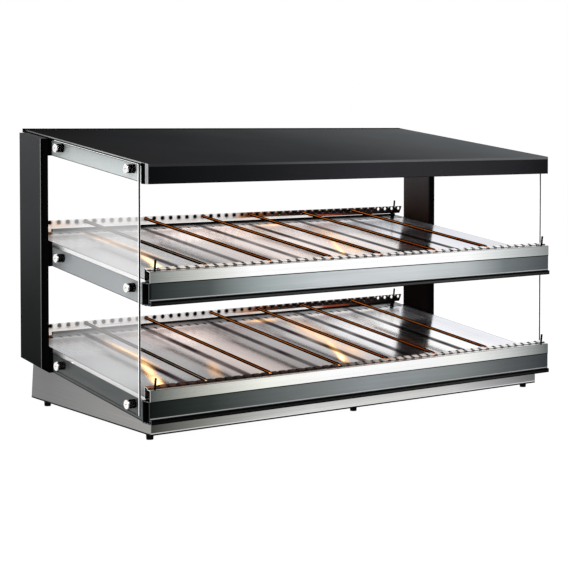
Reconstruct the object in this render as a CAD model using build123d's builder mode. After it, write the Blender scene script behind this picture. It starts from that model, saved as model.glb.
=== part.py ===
from build123d import *
import os
from math import cos, radians, sin, tan

os.makedirs("parts", exist_ok=True)

# Heated pass-through cabinet: two sloping heated shelves under a sloping canopy, open at the
# customer side and at the operator side, carried by two flat posts and a wedge-shaped base.
# All sizes are in millimetres. X runs along the width, Y from the customer to the operator, Z up.
# The origin is on the floor, in the middle of the overall footprint.

# Overall layout. Depths are measured back from the front face of the base,
# and the height of a sloping plane is its height above the floor at that front face.
tilt = 7.0
base_depth = 579.0
base_front_height = 26.3
foot_height = 13.7
housing_height = 59.0
tier_pitch = 257.0
canopy_top_height = 611.0
canopy_half_width = 605.0
canopy_depth_of_box = 48.0

# Stock
sheet = 1.5
reflector_sheet = 1.0
touch_gap = 0.3

# Shelf housings and trays
housing_inset = 11.0
housing_front = 6.0
housing_past_base = 1.0
flange_width = 12.0
tray_hem = 12.0
wire_hole_radius = 14.0
wire_hole_inset = 54.0
wire_hole_behind_post = 35.5

# Front profile of each shelf
profile_inset = 1.0
band_front = -28.3
band_top_above_tray = 23.0
rail_strip_depth = 12.0
rail_step = 2.4
tooth_depth = 12.5
tooth_rise = 1.3
lip_reach = 32.4
lip_above_housing_bottom = 4.0
lip_height = 10.0
profile_below_tray = 5.0
extrusion_wall = 2.5
strip_thickness = 3.5
strip_seat_gap = 0.3
strip_end_gap = 1.0

# Rod dividers and the two rails that hold them
hole_pitch = 25.0
rod_diameter = 8.0
rod_above_tray = 26.3
notch_width = 9.0
rod_front_position = -10.0
rail_hole_diameter = 9.0
rear_rail_before_housing_rear = 35.0
rear_rail_inset = 6.0
hole_margin = 12.5
rear_rail_height = 20.0
rear_rail_above_hole = 6.0
rear_rail_end_slant = 9.0
rail_leg_inset = 36.0
rail_leg_width = 12.0
rail_foot_length = 15.0
rod_bend_radius = 6.0
rod_tail = 10.0
rod_leg = 17.0
upper_rod_holes = (-18, -11, -4, 2, 9, 16)
lower_rod_holes = (-18, -11, -3, 3, 9, 16)
front_pin_inset = 17.0
front_pin_position = -19.5
rear_pin_beside_leg = 11.0
rear_pin_behind_rail = 7.5
front_pin_height = 24.0
rear_pin_height = 48.0
pin_diameter = 5.0

# Canopy
canopy_front = -23.7
canopy_past_housing = 1.0
canopy_hem = 9.0
fascia_above_box = 0.8
fascia_wall = 2.0
fascia_lip = 14.0

# Lamps and heating elements under the canopy and under the upper shelf
lamp_inset = 69.0
lamp_count = 3
lamp_position = 100.0
cup_outer_radius = 27.0
cup_wall = 2.0
cup_height = 24.0
cup_rim = 4.0
bulb_radius = 6.5
bulb_gap = 2.5
lens_radius = 24.7
lens_seat = 2.7
lens_thickness = 3.0
element_position = 275.0
element_radius = 4.0
element_end_radius = 4.6
element_heel = 3.2
element_bend = 10.0
element_inset = 34.0
element_height = 9.0
trough_half_width = 26.0
trough_taper = 4.0
trough_height = 20.0
clip_spacing = 400.0
clip_width = 12.0
clip_half_length = 17.0
clip_bottom = 3.5
heater_thickness = 1.5
heater_inset = 34.0
heater_front = 20.0
heater_before_housing_rear = 20.0

# Posts and the brackets between posts and housings
post_width = 20.0
post_before_housing_rear = 135.5
post_depth = 112.0
post_above_base = 12.0
post_below_canopy = 7.0

# Side panes and their stand-offs
pane_side_gap = 1.0
pane_thickness = 6.0
pane_front = 7.6
pane_before_post = 34.5
pane_above_base = 17.0
pane_below_canopy = 5.0
pane_corner_radius = 3.0
pane_bevel = 0.8
standoff_from_front = 49.4
standoff_from_rear = 20.0
standoff_below_tray = 28.5
standoff_below_canopy = 22.5
cap_radius = 10.5
cap_thickness = 4.0
cap_rounding = 1.5
stud_radius = 4.0
stud_reach = 6.0
stud_clearance = 0.2
spacer_radius = 10.0
pane_hole_radius = 5.0

# Base sides and feet
base_inset = 19.5
foot_inset = 14.5
foot_front = 30.0
foot_before_base_rear = 59.0
foot_radius = 9.0
foot_taper = 5.0
foot_stem_radius = 4.0
foot_barb_radius = 5.0
foot_barb_height = 3.0
foot_barb_taper = 15.0

# Controls at the operator side
control_height = 48.0
switch_insets = {"upper": 285.5, "lower": 175.5}
knob_insets = {"upper": 235.5, "lower": 125.5}
indicator_insets = (80.5, 55.5)
gland_inset = 85.5
switch_frame = (24.0, 32.0)
switch_frame_thickness = 2.0
switch_frame_corner = 2.0
switch_body = (19.6, 27.6)
switch_body_depth = 20.0
rocker_size = (15.2, 20.8)
rocker_opening = (16.0, 23.0)
rocker_recess = 9.0
rocker_throw = 8.0
rocker_pivot_depth = 2.0
rocker_pivot_radius = 1.5
rocker_pivot_reach = 1.6
rocker_ear_height = 5.6
rocker_middle_height = 3.8
rocker_edge_depth = 1.0
rocker_root_depth = 4.0
knob_skirt_radius = 18.0
knob_grip_radius = 13.0
knob_height = 16.0
knob_skirt_height = 4.0
knob_gap = 0.5
knob_taper = 3.0
shaft_radius = 3.0
shaft_flat = 0.6
shaft_in_knob = 10.0
flute_radius = 4.0
flute_depth = 1.2
flute_count = 12
pointer_width = 2.0
pointer_depth = 0.8
pointer_length = 11.0
thermostat_size = 30.0
thermostat_depth = 22.0
thermostat_corner = 3.0
thermostat_recess = 8.0
indicator_radius = 5.0
indicator_reach = 4.0
indicator_rounding = 3.0
indicator_body_radius = 4.0
indicator_body_depth = 14.0
gland_radius = 8.0
gland_nut_width = 22.0
gland_nut_height = 6.0
gland_reach = 18.0
gland_bore = 4.0
terminal_behind = 60.0
terminal_length = 70.0
terminal_width = 24.0
terminal_height = 18.0
terminal_ways = 5
terminal_hole_radius = 2.0
vent_length = 40.0
vent_width = 4.0
pan_vent_pitch = (160.0, 14.0)
pan_vent_counts = (6, 9)
panel_vent_position = -80.0
panel_vent_pitch = (60.0, 10.0)
panel_vent_counts = (9, 5)

# Worked-out sizes
base_half_width = canopy_half_width - base_inset
housing_half_width = canopy_half_width - housing_inset
housing_rear = base_depth + housing_past_base
lip_drop = housing_height - lip_above_housing_bottom
profile_height = lip_drop - profile_below_tray
rear_rail_position = housing_rear - rear_rail_before_housing_rear
canopy_rear = housing_rear + canopy_past_housing
heater_rear = housing_rear - heater_before_housing_rear
post_front = housing_rear - post_before_housing_rear
pane_rear = post_front - pane_before_post
standoff_positions = (pane_front + standoff_from_front, pane_rear - standoff_from_rear)
wire_hole_depth = post_front + wire_hole_behind_post
foot_rear = base_depth - foot_before_base_rear
profile_half_width = canopy_half_width - profile_inset
post_inner_face = canopy_half_width
pane_inner_face = canopy_half_width + pane_side_gap
rear_rail_half_length = housing_half_width - rear_rail_inset
rail_leg_x = rear_rail_half_length - rail_leg_inset
rear_pin_x = rail_leg_x + rear_pin_beside_leg
front_pin_x = profile_half_width - front_pin_inset
hole_count = 2 * int((rear_rail_half_length - hole_margin) / hole_pitch) + 1
wire_hole_x = housing_half_width - wire_hole_inset
element_half_length = housing_half_width - element_inset
heater_half_width = housing_half_width - heater_inset
lamp_spacing = housing_half_width - lamp_inset
foot_x = base_half_width - foot_inset
switch_positions = {tier: base_half_width - inset for tier, inset in switch_insets.items()}
knob_positions = {tier: base_half_width - inset for tier, inset in knob_insets.items()}
indicator_positions = [base_half_width - inset for inset in indicator_insets]
gland_position = gland_inset - base_half_width
slope = tan(radians(tilt))
lean = sin(radians(tilt))
upright = cos(radians(tilt))
base_top_height = foot_height + base_front_height
lower_tray_height = base_top_height + housing_height
upper_tray_height = lower_tray_height + tier_pitch
canopy_bottom_height = canopy_top_height - canopy_depth_of_box
fascia_bottom_height = canopy_bottom_height + fascia_above_box
post_bottom_height = base_top_height + post_above_base
post_top_height = canopy_top_height - post_below_canopy
pane_bottom_height = base_top_height + pane_above_base
pane_top_height = canopy_top_height - pane_below_canopy
rear_face_height = (base_front_height + base_depth * slope) * upright
rear_reach = base_depth - control_height * lean + gland_reach * upright + gland_radius * lean
base_front = (lip_reach - rear_reach) / 2
tray_half_width = housing_half_width + sheet
rod_radius = rod_diameter / 2
notch_floor_above_tray = rod_above_tray - rod_radius - touch_gap
post_rear = post_front + post_depth
pane_outer_face = pane_inner_face + pane_thickness
trays = {"lower": lower_tray_height, "upper": upper_tray_height}
rods = {"lower": lower_rod_holes, "upper": upper_rod_holes}
undersides = {"upper": upper_tray_height - housing_height, "canopy": canopy_bottom_height}


def level(depth, height):
    """Point on the side plane at a depth behind the front of the base and a height."""
    return (base_front + depth, height)


def sloped(depth, height):
    """The same point on a plane that climbs towards the operator side."""
    return (base_front + depth, height + depth * slope)


def lying_plane(height):
    """Plane that lies on a slope, with X across and Y up the slope."""
    return Plane(origin=(0, base_front, height), x_dir=(1, 0, 0), z_dir=(0, -lean, upright))


def cutting_plane(height, across=0.0):
    """Plane across the cabinet's depth, with X up a slope and Y square to the slope."""
    return Plane(origin=(across, base_front, height), x_dir=(0, upright, lean), z_dir=(1, 0, 0))


def side_face(*corners, across=0.0):
    """Face with these corners on the side plane, or on a plane that many millimetres across."""
    with BuildSketch(Plane.YZ.offset(across), mode=Mode.PRIVATE) as outline:
        with BuildLine():
            Polyline(*corners, close=True)
        make_face()
    return outline.sketch


control_plane = Plane(
    origin=(0, base_front + base_depth, foot_height), x_dir=(-1, 0, 0), z_dir=(0, upright, lean)
)

# Base: a wedge of folded sheet, open below for the bottom pan and behind for the control panel
rear_top_depth = base_depth - rear_face_height * lean
with BuildPart() as base_pedestal:
    wedge = side_face(
        level(0, foot_height),
        level(0, base_top_height),
        sloped(rear_top_depth, base_top_height),
        level(base_depth, foot_height),
    )
    extrude(wedge, amount=base_half_width, both=True)
    hollow = side_face(
        level(sheet, foot_height - sheet),
        sloped(sheet, base_top_height - sheet),
        sloped(base_depth + sheet, base_top_height - sheet),
        level(base_depth + sheet, foot_height - sheet),
    )
    extrude(hollow, amount=base_half_width - sheet, both=True, mode=Mode.SUBTRACT)
    with BuildSketch(lying_plane(base_top_height)):
        with Locations((-wire_hole_x, wire_hole_depth), (wire_hole_x, wire_hole_depth)):
            Circle(wire_hole_radius)
    extrude(amount=-2 * sheet, mode=Mode.SUBTRACT)
base_pedestal.part.label = "base_pedestal"
export_step(base_pedestal.part, "parts/base_pedestal.step")

# Bottom pan with vent slots and the holes that the feet are pushed into
foot_places = [
    (x, base_front + depth) for x in (-foot_x, 0, foot_x) for depth in (foot_front, foot_rear)
]
pan_length = base_depth - 2 * sheet - foot_height * lean
with BuildPart() as base_bottom_pan:
    with BuildSketch(Plane.XY.offset(foot_height)):
        with Locations((0, base_front + sheet + pan_length / 2)):
            Rectangle(2 * (base_half_width - sheet), pan_length)
        with Locations(*foot_places):
            Circle(foot_stem_radius, mode=Mode.SUBTRACT)
        with Locations((0, base_front + base_depth / 2)):
            with GridLocations(*pan_vent_pitch, *pan_vent_counts):
                SlotOverall(2 * vent_length, vent_width, mode=Mode.SUBTRACT)
    extrude(amount=sheet)
base_bottom_pan.part.label = "base_bottom_pan"
export_step(base_bottom_pan.part, "parts/base_bottom_pan.step")

# Push-in rubber feet
with BuildPart() as rubber_feet:
    with BuildSketch(Plane.XY.offset(foot_height)):
        with Locations(*foot_places):
            Circle(foot_radius)
    extrude(amount=-foot_height, taper=foot_taper)
    with BuildSketch(Plane.XY.offset(foot_height)):
        with Locations(*foot_places):
            Circle(foot_stem_radius)
    extrude(amount=sheet)
    with BuildSketch(Plane.XY.offset(foot_height + sheet)):
        with Locations(*foot_places):
            Circle(foot_barb_radius)
    extrude(amount=foot_barb_height, taper=foot_barb_taper)
rubber_feet.part.label = "rubber_feet"
export_step(rubber_feet.part, "parts/rubber_feet.step")

# Control panel that closes the back of the base
panel_width = 2 * (base_half_width - sheet)
panel_bottom = sheet / upright
panel_top = rear_face_height - sheet
with BuildPart() as control_panel:
    with BuildSketch(control_plane):
        with Locations((0, (panel_bottom + panel_top) / 2)):
            Rectangle(panel_width, panel_top - panel_bottom)
        with Locations(*[(x, control_height) for x in switch_positions.values()]):
            Rectangle(*switch_body, mode=Mode.SUBTRACT)
        with Locations(*[(x, control_height) for x in knob_positions.values()]):
            Circle(shaft_radius + knob_gap, mode=Mode.SUBTRACT)
        with Locations(*[(x, control_height) for x in indicator_positions]):
            Circle(indicator_body_radius, mode=Mode.SUBTRACT)
        with Locations((gland_position, control_height)):
            Circle(gland_radius, mode=Mode.SUBTRACT)
        with Locations((panel_vent_position, control_height)):
            with GridLocations(*panel_vent_pitch, *panel_vent_counts):
                SlotOverall(vent_length, vent_width, mode=Mode.SUBTRACT)
    extrude(amount=-sheet)
control_panel.part.label = "control_panel"
export_step(control_panel.part, "parts/control_panel.step")

# Bodies of the two rocker switches, each with a frame outside the panel
with BuildPart() as switch_bodies:
    with BuildSketch(control_plane):
        with Locations(*[(x, control_height) for x in switch_positions.values()]):
            RectangleRounded(*switch_frame, radius=switch_frame_corner)
    extrude(amount=switch_frame_thickness)
    with BuildSketch(control_plane):
        with Locations(*[(x, control_height) for x in switch_positions.values()]):
            Rectangle(*switch_body)
    extrude(amount=-switch_body_depth)
    with BuildSketch(control_plane.offset(switch_frame_thickness)):
        with Locations(*[(x, control_height) for x in switch_positions.values()]):
            Rectangle(*rocker_opening)
    extrude(amount=-(rocker_recess + switch_frame_thickness), mode=Mode.SUBTRACT)
    for x in switch_positions.values():
        pivot_plane = Plane(
            origin=control_plane.from_local_coords((x, control_height, -rocker_pivot_depth)),
            z_dir=(1, 0, 0),
        )
        with BuildSketch(pivot_plane):
            Circle(rocker_pivot_radius + touch_gap)
        extrude(amount=rocker_size[0] / 2 + rocker_pivot_reach, both=True, mode=Mode.SUBTRACT)
switch_bodies.part.label = "switch_bodies"
export_step(switch_bodies.part, "parts/switch_bodies.step")

# Rockers, drawn in their off position with the lower half pressed in
rocker_half_length = rocker_size[1] / 2
rocker_half_width = rocker_size[0] / 2
for tier, x in switch_positions.items():
    rocker_lean = radians(tilt - rocker_throw)
    rocker_plane = Plane(
        origin=control_plane.from_local_coords((x, control_height, -rocker_pivot_depth)),
        x_dir=(0, -sin(rocker_lean), cos(rocker_lean)),
        z_dir=(-1, 0, 0),
    )
    with BuildPart() as rocker:
        with BuildSketch(rocker_plane):
            with BuildLine():
                Polyline(
                    (-rocker_half_length, -rocker_edge_depth),
                    (-rocker_half_length, rocker_ear_height),
                    (0, rocker_middle_height),
                    (rocker_half_length, rocker_ear_height),
                    (rocker_half_length, -rocker_edge_depth),
                    (0, -rocker_root_depth),
                    close=True,
                )
            make_face()
        extrude(amount=rocker_half_width, both=True)
        with BuildSketch(rocker_plane):
            Circle(rocker_pivot_radius)
        extrude(amount=rocker_half_width + rocker_pivot_reach - touch_gap, both=True)
    rocker.part.label = f"{tier}_tier_rocker"
    export_step(rocker.part, f"parts/{tier}_tier_rocker.step")

# Thermostat knobs, each on a flatted shaft that comes out of a thermostat body
for tier, x in knob_positions.items():
    dial_plane = Plane(
        origin=control_plane.from_local_coords((x, control_height, 0)),
        x_dir=(-1, 0, 0),
        z_dir=(0, upright, lean),
    )
    with BuildPart() as shaft:
        with BuildSketch(dial_plane.offset(-sheet - thermostat_recess)):
            Circle(shaft_radius)
        extrude(amount=sheet + thermostat_recess + knob_gap)
        with BuildSketch(dial_plane.offset(knob_gap)):
            Circle(shaft_radius)
            with Locations((0, 2 * shaft_radius - shaft_flat)):
                Rectangle(2 * shaft_radius, 2 * shaft_radius, mode=Mode.SUBTRACT)
        extrude(amount=shaft_in_knob)
    shaft.part.label = f"{tier}_thermostat_shaft"
    export_step(shaft.part, f"parts/{tier}_thermostat_shaft.step")

    with BuildPart() as knob:
        with BuildSketch(dial_plane.offset(knob_gap)):
            Circle(knob_skirt_radius)
        extrude(amount=knob_skirt_height)
        with BuildSketch(dial_plane.offset(knob_gap + knob_skirt_height)):
            Circle(knob_grip_radius)
        extrude(amount=knob_height - knob_skirt_height, taper=knob_taper)
        with BuildSketch(dial_plane.offset(knob_gap + knob_height)):
            with PolarLocations(knob_grip_radius + flute_radius - flute_depth, flute_count):
                Circle(flute_radius)
        extrude(amount=-(knob_height - knob_skirt_height), mode=Mode.SUBTRACT)
        with BuildSketch(dial_plane.offset(knob_gap + knob_height)):
            with Locations((0, knob_grip_radius / 2)):
                Rectangle(pointer_width, pointer_length)
        extrude(amount=-pointer_depth, mode=Mode.SUBTRACT)
        with BuildSketch(dial_plane.offset(knob_gap)):
            Circle(shaft_radius)
            with Locations((0, 2 * shaft_radius - shaft_flat)):
                Rectangle(2 * shaft_radius, 2 * shaft_radius, mode=Mode.SUBTRACT)
        extrude(amount=shaft_in_knob, mode=Mode.SUBTRACT)
    knob.part.label = f"{tier}_thermostat_knob"
    export_step(knob.part, f"parts/{tier}_thermostat_knob.step")

with BuildPart() as thermostat_bodies:
    with BuildSketch(control_plane.offset(-sheet)):
        with Locations(*[(x, control_height) for x in knob_positions.values()]):
            RectangleRounded(thermostat_size, thermostat_size, radius=thermostat_corner)
    extrude(amount=-thermostat_depth)
    with BuildSketch(control_plane.offset(-sheet)):
        with Locations(*[(x, control_height) for x in knob_positions.values()]):
            Circle(shaft_radius + touch_gap)
    extrude(amount=-(thermostat_recess + touch_gap), mode=Mode.SUBTRACT)
thermostat_bodies.part.label = "thermostat_bodies"
export_step(thermostat_bodies.part, "parts/thermostat_bodies.step")

# Indicator lamps with a domed cap outside the panel
with BuildPart() as indicator_lamps:
    with BuildSketch(control_plane):
        with Locations(*[(x, control_height) for x in indicator_positions]):
            Circle(indicator_radius)
    extrude(amount=indicator_reach)
    outward = Axis((0, 0, 0), (0, upright, lean))
    rim = indicator_lamps.edges().filter_by(GeomType.CIRCLE).group_by(outward)[-1]
    fillet(rim, indicator_rounding)
    with BuildSketch(control_plane):
        with Locations(*[(x, control_height) for x in indicator_positions]):
            Circle(indicator_body_radius)
    extrude(amount=-indicator_body_depth)
indicator_lamps.part.label = "indicator_lamps"
export_step(indicator_lamps.part, "parts/indicator_lamps.step")

# Cord gland: hexagonal nut and nose outside, threaded body through the panel, lock nut inside
with BuildPart() as cord_gland:
    with BuildSketch(control_plane):
        with Locations((gland_position, control_height)):
            RegularPolygon(gland_nut_width / 2, 6, major_radius=False)
    extrude(amount=gland_nut_height)
    with BuildSketch(control_plane.offset(gland_nut_height)):
        with Locations((gland_position, control_height)):
            Circle(gland_radius)
    extrude(amount=gland_reach - gland_nut_height)
    with BuildSketch(control_plane):
        with Locations((gland_position, control_height)):
            Circle(gland_radius)
    extrude(amount=-(sheet + gland_nut_height))
    with BuildSketch(control_plane.offset(-sheet)):
        with Locations((gland_position, control_height)):
            RegularPolygon(gland_nut_width / 2, 6, major_radius=False)
    extrude(amount=-gland_nut_height)
    with BuildSketch(control_plane.offset(gland_reach)):
        with Locations((gland_position, control_height)):
            Circle(gland_bore)
    extrude(amount=-(gland_reach + sheet + gland_nut_height), mode=Mode.SUBTRACT)
cord_gland.part.label = "cord_gland"
export_step(cord_gland.part, "parts/cord_gland.step")

# Terminal block on the bottom pan, near the gland
terminal_place = (-gland_position, base_front + base_depth - terminal_behind)
with BuildPart() as terminal_block:
    with BuildSketch(Plane.XY.offset(foot_height + sheet)):
        with Locations(terminal_place):
            Rectangle(terminal_length, terminal_width)
    extrude(amount=terminal_height)
    with BuildSketch(Plane.XY.offset(foot_height + sheet + terminal_height)):
        with Locations(terminal_place):
            with GridLocations(terminal_length / terminal_ways, terminal_width / 2, terminal_ways, 2):
                Circle(terminal_hole_radius)
    extrude(amount=-terminal_height / 2, mode=Mode.SUBTRACT)
terminal_block.part.label = "terminal_block"
export_step(terminal_block.part, "parts/terminal_block.step")

# Shelves: the same set of pieces for the lower and the upper tier
for tier, tray_height in trays.items():
    housing_bottom = tray_height - housing_height
    housing_top = tray_height - sheet
    lip_bottom = tray_height - lip_drop
    profile_top = lip_bottom + profile_height
    strip_bottom = lip_bottom + lip_height
    strip_top = profile_top - extrusion_wall / 2
    band_bottom = tray_height + band_front * slope - sheet
    rail_hole_height = tray_height + rod_above_tray

    # Housing: sheet box, open above for the tray
    with BuildPart() as housing:
        box = side_face(
            sloped(housing_front, housing_bottom),
            sloped(housing_front, housing_top),
            sloped(housing_rear, housing_top),
            sloped(housing_rear, housing_bottom),
        )
        extrude(box, amount=housing_half_width, both=True)
        hollow = side_face(
            sloped(housing_front + sheet, housing_bottom + sheet),
            sloped(housing_front + sheet, housing_top + sheet),
            sloped(housing_rear - sheet, housing_top + sheet),
            sloped(housing_rear - sheet, housing_bottom + sheet),
        )
        extrude(hollow, amount=housing_half_width - sheet, both=True, mode=Mode.SUBTRACT)
        if tier in undersides:
            # The upper housing is open below, inside a flange that carries the reflector
            window = side_face(
                sloped(housing_front + flange_width, housing_bottom - sheet),
                sloped(housing_front + flange_width, housing_bottom + 2 * sheet),
                sloped(housing_rear - flange_width, housing_bottom + 2 * sheet),
                sloped(housing_rear - flange_width, housing_bottom - sheet),
            )
            extrude(window, amount=housing_half_width - flange_width, both=True, mode=Mode.SUBTRACT)
        else:
            with BuildSketch(lying_plane(housing_bottom)):
                with Locations((-wire_hole_x, wire_hole_depth), (wire_hole_x, wire_hole_depth)):
                    Circle(wire_hole_radius)
            extrude(amount=2 * sheet, mode=Mode.SUBTRACT)
        with BuildSketch(Plane.YZ.offset(housing_half_width + sheet)):
            with Locations(*[sloped(d, tray_height - standoff_below_tray) for d in standoff_positions]):
                Circle(stud_radius + stud_clearance)
        extrude(amount=-2 * (housing_half_width + sheet), mode=Mode.SUBTRACT)
    housing.part.label = f"{tier}_housing"
    export_step(housing.part, f"parts/{tier}_housing.step")

    # Tray: heated plate with hems over the housing's side walls and back wall
    with BuildPart() as tray:
        plate = side_face(
            sloped(band_front + sheet, tray_height - sheet),
            sloped(housing_rear + sheet, tray_height - sheet),
            sloped(housing_rear + sheet, tray_height),
            sloped(band_front + sheet, tray_height),
        )
        extrude(plate, amount=tray_half_width, both=True)
        rear_hem = side_face(
            sloped(housing_rear, tray_height - tray_hem),
            sloped(housing_rear + sheet, tray_height - tray_hem),
            sloped(housing_rear + sheet, tray_height - sheet),
            sloped(housing_rear, tray_height - sheet),
        )
        extrude(rear_hem, amount=tray_half_width, both=True)
        for side in (-housing_half_width - sheet, housing_half_width):
            side_hem = side_face(
                sloped(housing_front, tray_height - tray_hem),
                sloped(post_front, tray_height - tray_hem),
                sloped(post_front, tray_height - sheet),
                sloped(housing_front, tray_height - sheet),
                across=side,
            )
            extrude(side_hem, amount=sheet)
    tray.part.label = f"{tier}_tray"
    export_step(tray.part, f"parts/{tier}_tray.step")

    # Front rail: polished band, a strip on top, a step up to the teeth, and a leg down to the tray
    strip_back = band_front + rail_strip_depth
    rail_back = strip_back + tooth_depth
    rail_top = tray_height + band_top_above_tray
    tooth_front_top = rail_top + rail_step
    tooth_rear_top = tooth_front_top + tooth_rise
    with BuildPart() as front_rail:
        fold = side_face(
            level(band_front, band_bottom),
            sloped(band_front, rail_top),
            sloped(strip_back, rail_top),
            sloped(strip_back, tooth_front_top),
            sloped(rail_back, tooth_rear_top),
            sloped(rail_back, tray_height),
            sloped(rail_back - sheet, tray_height),
            sloped(rail_back - sheet, tooth_rear_top - sheet),
            sloped(strip_back + sheet, tooth_front_top - sheet),
            sloped(strip_back + sheet, rail_top - sheet),
            sloped(band_front + sheet, rail_top - sheet),
            level(band_front + sheet, band_bottom),
        )
        extrude(fold, amount=profile_half_width, both=True)
        # Notches between the teeth, open behind and above, with a round floor
        floor_centre = (tray_height + notch_floor_above_tray) + notch_width / 2 / upright
        notch_plane = Plane(
            origin=(0, *sloped(strip_back + sheet, floor_centre)),
            x_dir=(1, 0, 0),
            z_dir=(0, upright, lean),
        )
        with BuildSketch(notch_plane):
            with GridLocations(hole_pitch, 1, hole_count, 1):
                Circle(notch_width / 2)
            with Locations((0, -notch_width)):
                with GridLocations(hole_pitch, 1, hole_count, 1):
                    Rectangle(notch_width, 2 * notch_width)
        extrude(amount=2 * tooth_depth, mode=Mode.SUBTRACT)
    front_rail.part.label = f"{tier}_front_rail"
    export_step(front_rail.part, f"parts/{tier}_front_rail.step")

    # Rear rail: perforated strip on two bent legs that stand on the tray
    strip_low = tray_height + rear_rail_position * slope + rod_above_tray - (
        rear_rail_height - rear_rail_above_hole
    )
    strip_high = strip_low + rear_rail_height
    tray_at_rail = tray_height + (rear_rail_position + sheet) * slope
    with BuildPart() as rear_rail:
        with BuildSketch(Plane.XZ.offset(-(base_front + rear_rail_position))):
            with BuildLine():
                Polyline(
                    (-rear_rail_half_length, strip_high),
                    (rear_rail_half_length, strip_high),
                    (rear_rail_half_length - rear_rail_end_slant, strip_low),
                    (-rear_rail_half_length + rear_rail_end_slant, strip_low),
                    close=True,
                )
            make_face()
            with Locations((-rail_leg_x, (strip_low + tray_at_rail) / 2)):
                Rectangle(rail_leg_width, strip_low - tray_at_rail)
            with Locations((rail_leg_x, (strip_low + tray_at_rail) / 2)):
                Rectangle(rail_leg_width, strip_low - tray_at_rail)
            with Locations((0, strip_high - rear_rail_above_hole)):
                with GridLocations(hole_pitch, 1, hole_count, 1):
                    Circle(rail_hole_diameter / 2, mode=Mode.SUBTRACT)
        extrude(amount=-sheet)
        for side in (-rail_leg_x, rail_leg_x):
            foot = side_face(
                sloped(rear_rail_position + touch_gap, tray_height),
                sloped(rear_rail_position + touch_gap, tray_height + sheet),
                sloped(rear_rail_position + rail_foot_length, tray_height + sheet),
                sloped(rear_rail_position + rail_foot_length, tray_height),
                across=side - rail_leg_width / 2,
            )
            extrude(foot, amount=rail_leg_width)
    rear_rail.part.label = f"{tier}_rear_rail"
    export_step(rear_rail.part, f"parts/{tier}_rear_rail.step")

    # Extruded profile in front of the housing: lip below, channel for the ticket strip, hook above
    channel_back = band_front + strip_thickness + strip_seat_gap
    with BuildPart() as ticket_profile:
        section = side_face(
            level(-lip_reach, lip_bottom),
            level(housing_front, lip_bottom),
            level(housing_front, profile_top),
            level(band_front, profile_top),
            level(band_front, strip_top),
            level(channel_back, strip_top),
            level(channel_back, strip_bottom),
            level(-lip_reach, strip_bottom),
        )
        extrude(section, amount=profile_half_width, both=True)
        chamber = side_face(
            level(channel_back + extrusion_wall, lip_bottom + extrusion_wall),
            level(housing_front - extrusion_wall, lip_bottom + extrusion_wall),
            level(housing_front - extrusion_wall, profile_top - extrusion_wall),
            level(channel_back + extrusion_wall, profile_top - extrusion_wall),
        )
        extrude(chamber, amount=profile_half_width, both=True, mode=Mode.SUBTRACT)
        lip_chamber = side_face(
            level(extrusion_wall - lip_reach, lip_bottom + extrusion_wall),
            level(channel_back, lip_bottom + extrusion_wall),
            level(channel_back, strip_bottom - extrusion_wall),
            level(extrusion_wall - lip_reach, strip_bottom - extrusion_wall),
        )
        extrude(lip_chamber, amount=profile_half_width, both=True, mode=Mode.SUBTRACT)
    ticket_profile.part.label = f"{tier}_ticket_profile"
    export_step(ticket_profile.part, f"parts/{tier}_ticket_profile.step")

    # Glossy strip in the profile's channel
    with BuildPart() as ticket_strip:
        strip = side_face(
            level(band_front, strip_bottom),
            level(band_front + strip_thickness, strip_bottom),
            level(band_front + strip_thickness, strip_top),
            level(band_front, strip_top),
        )
        extrude(strip, amount=profile_half_width - strip_end_gap, both=True)
    ticket_strip.part.label = f"{tier}_ticket_strip"
    export_step(ticket_strip.part, f"parts/{tier}_ticket_strip.step")

    # Rod dividers: from a hole in the rear rail to a notch in the front rail, where each hooks down
    tail_depth = rear_rail_position + sheet + rod_tail
    leg_end = rod_above_tray - rod_leg
    for number, hole in enumerate(rods[tier], start=1):
        with BuildPart() as divider:
            with BuildLine(Plane.YZ.offset(hole * hole_pitch)):
                FilletPolyline(
                    sloped(tail_depth, rail_hole_height),
                    sloped(rod_front_position, rail_hole_height),
                    sloped(rod_front_position, tray_height + leg_end),
                    radius=rod_bend_radius,
                )
            with BuildSketch(
                Plane(
                    origin=(hole * hole_pitch, *sloped(tail_depth, rail_hole_height)),
                    z_dir=(0, upright, lean),
                )
            ):
                Circle(rod_radius)
            sweep()
        divider.part.label = f"{tier}_divider_{number}"
        export_step(divider.part, f"parts/{tier}_divider_{number}.step")

# Upright pins at the tray corners: two in the front rail's top, two behind the rear rail
with BuildPart() as corner_pins:
    for tray_height in trays.values():
        with BuildSketch(lying_plane(tray_height + band_top_above_tray)):
            with Locations(*[(x, front_pin_position / upright) for x in (-front_pin_x, front_pin_x)]):
                Circle(pin_diameter / 2)
        extrude(amount=front_pin_height)
        with BuildSketch(lying_plane(tray_height)):
            rear_pin_depth = rear_rail_position + sheet + rear_pin_behind_rail
            with Locations(*[(x, rear_pin_depth / upright) for x in (-rear_pin_x, rear_pin_x)]):
                Circle(pin_diameter / 2)
        extrude(amount=rear_pin_height)
corner_pins.part.label = "corner_pins"
export_step(corner_pins.part, "parts/corner_pins.step")

# Heating mats under the two trays
with BuildPart() as tray_heaters:
    for tray_height in trays.values():
        mat = side_face(
            sloped(heater_front, tray_height - sheet),
            sloped(heater_front, tray_height - sheet - heater_thickness),
            sloped(heater_rear, tray_height - sheet - heater_thickness),
            sloped(heater_rear, tray_height - sheet),
        )
        extrude(mat, amount=heater_half_width, both=True)
tray_heaters.part.label = "tray_heaters"
export_step(tray_heaters.part, "parts/tray_heaters.step")

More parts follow.
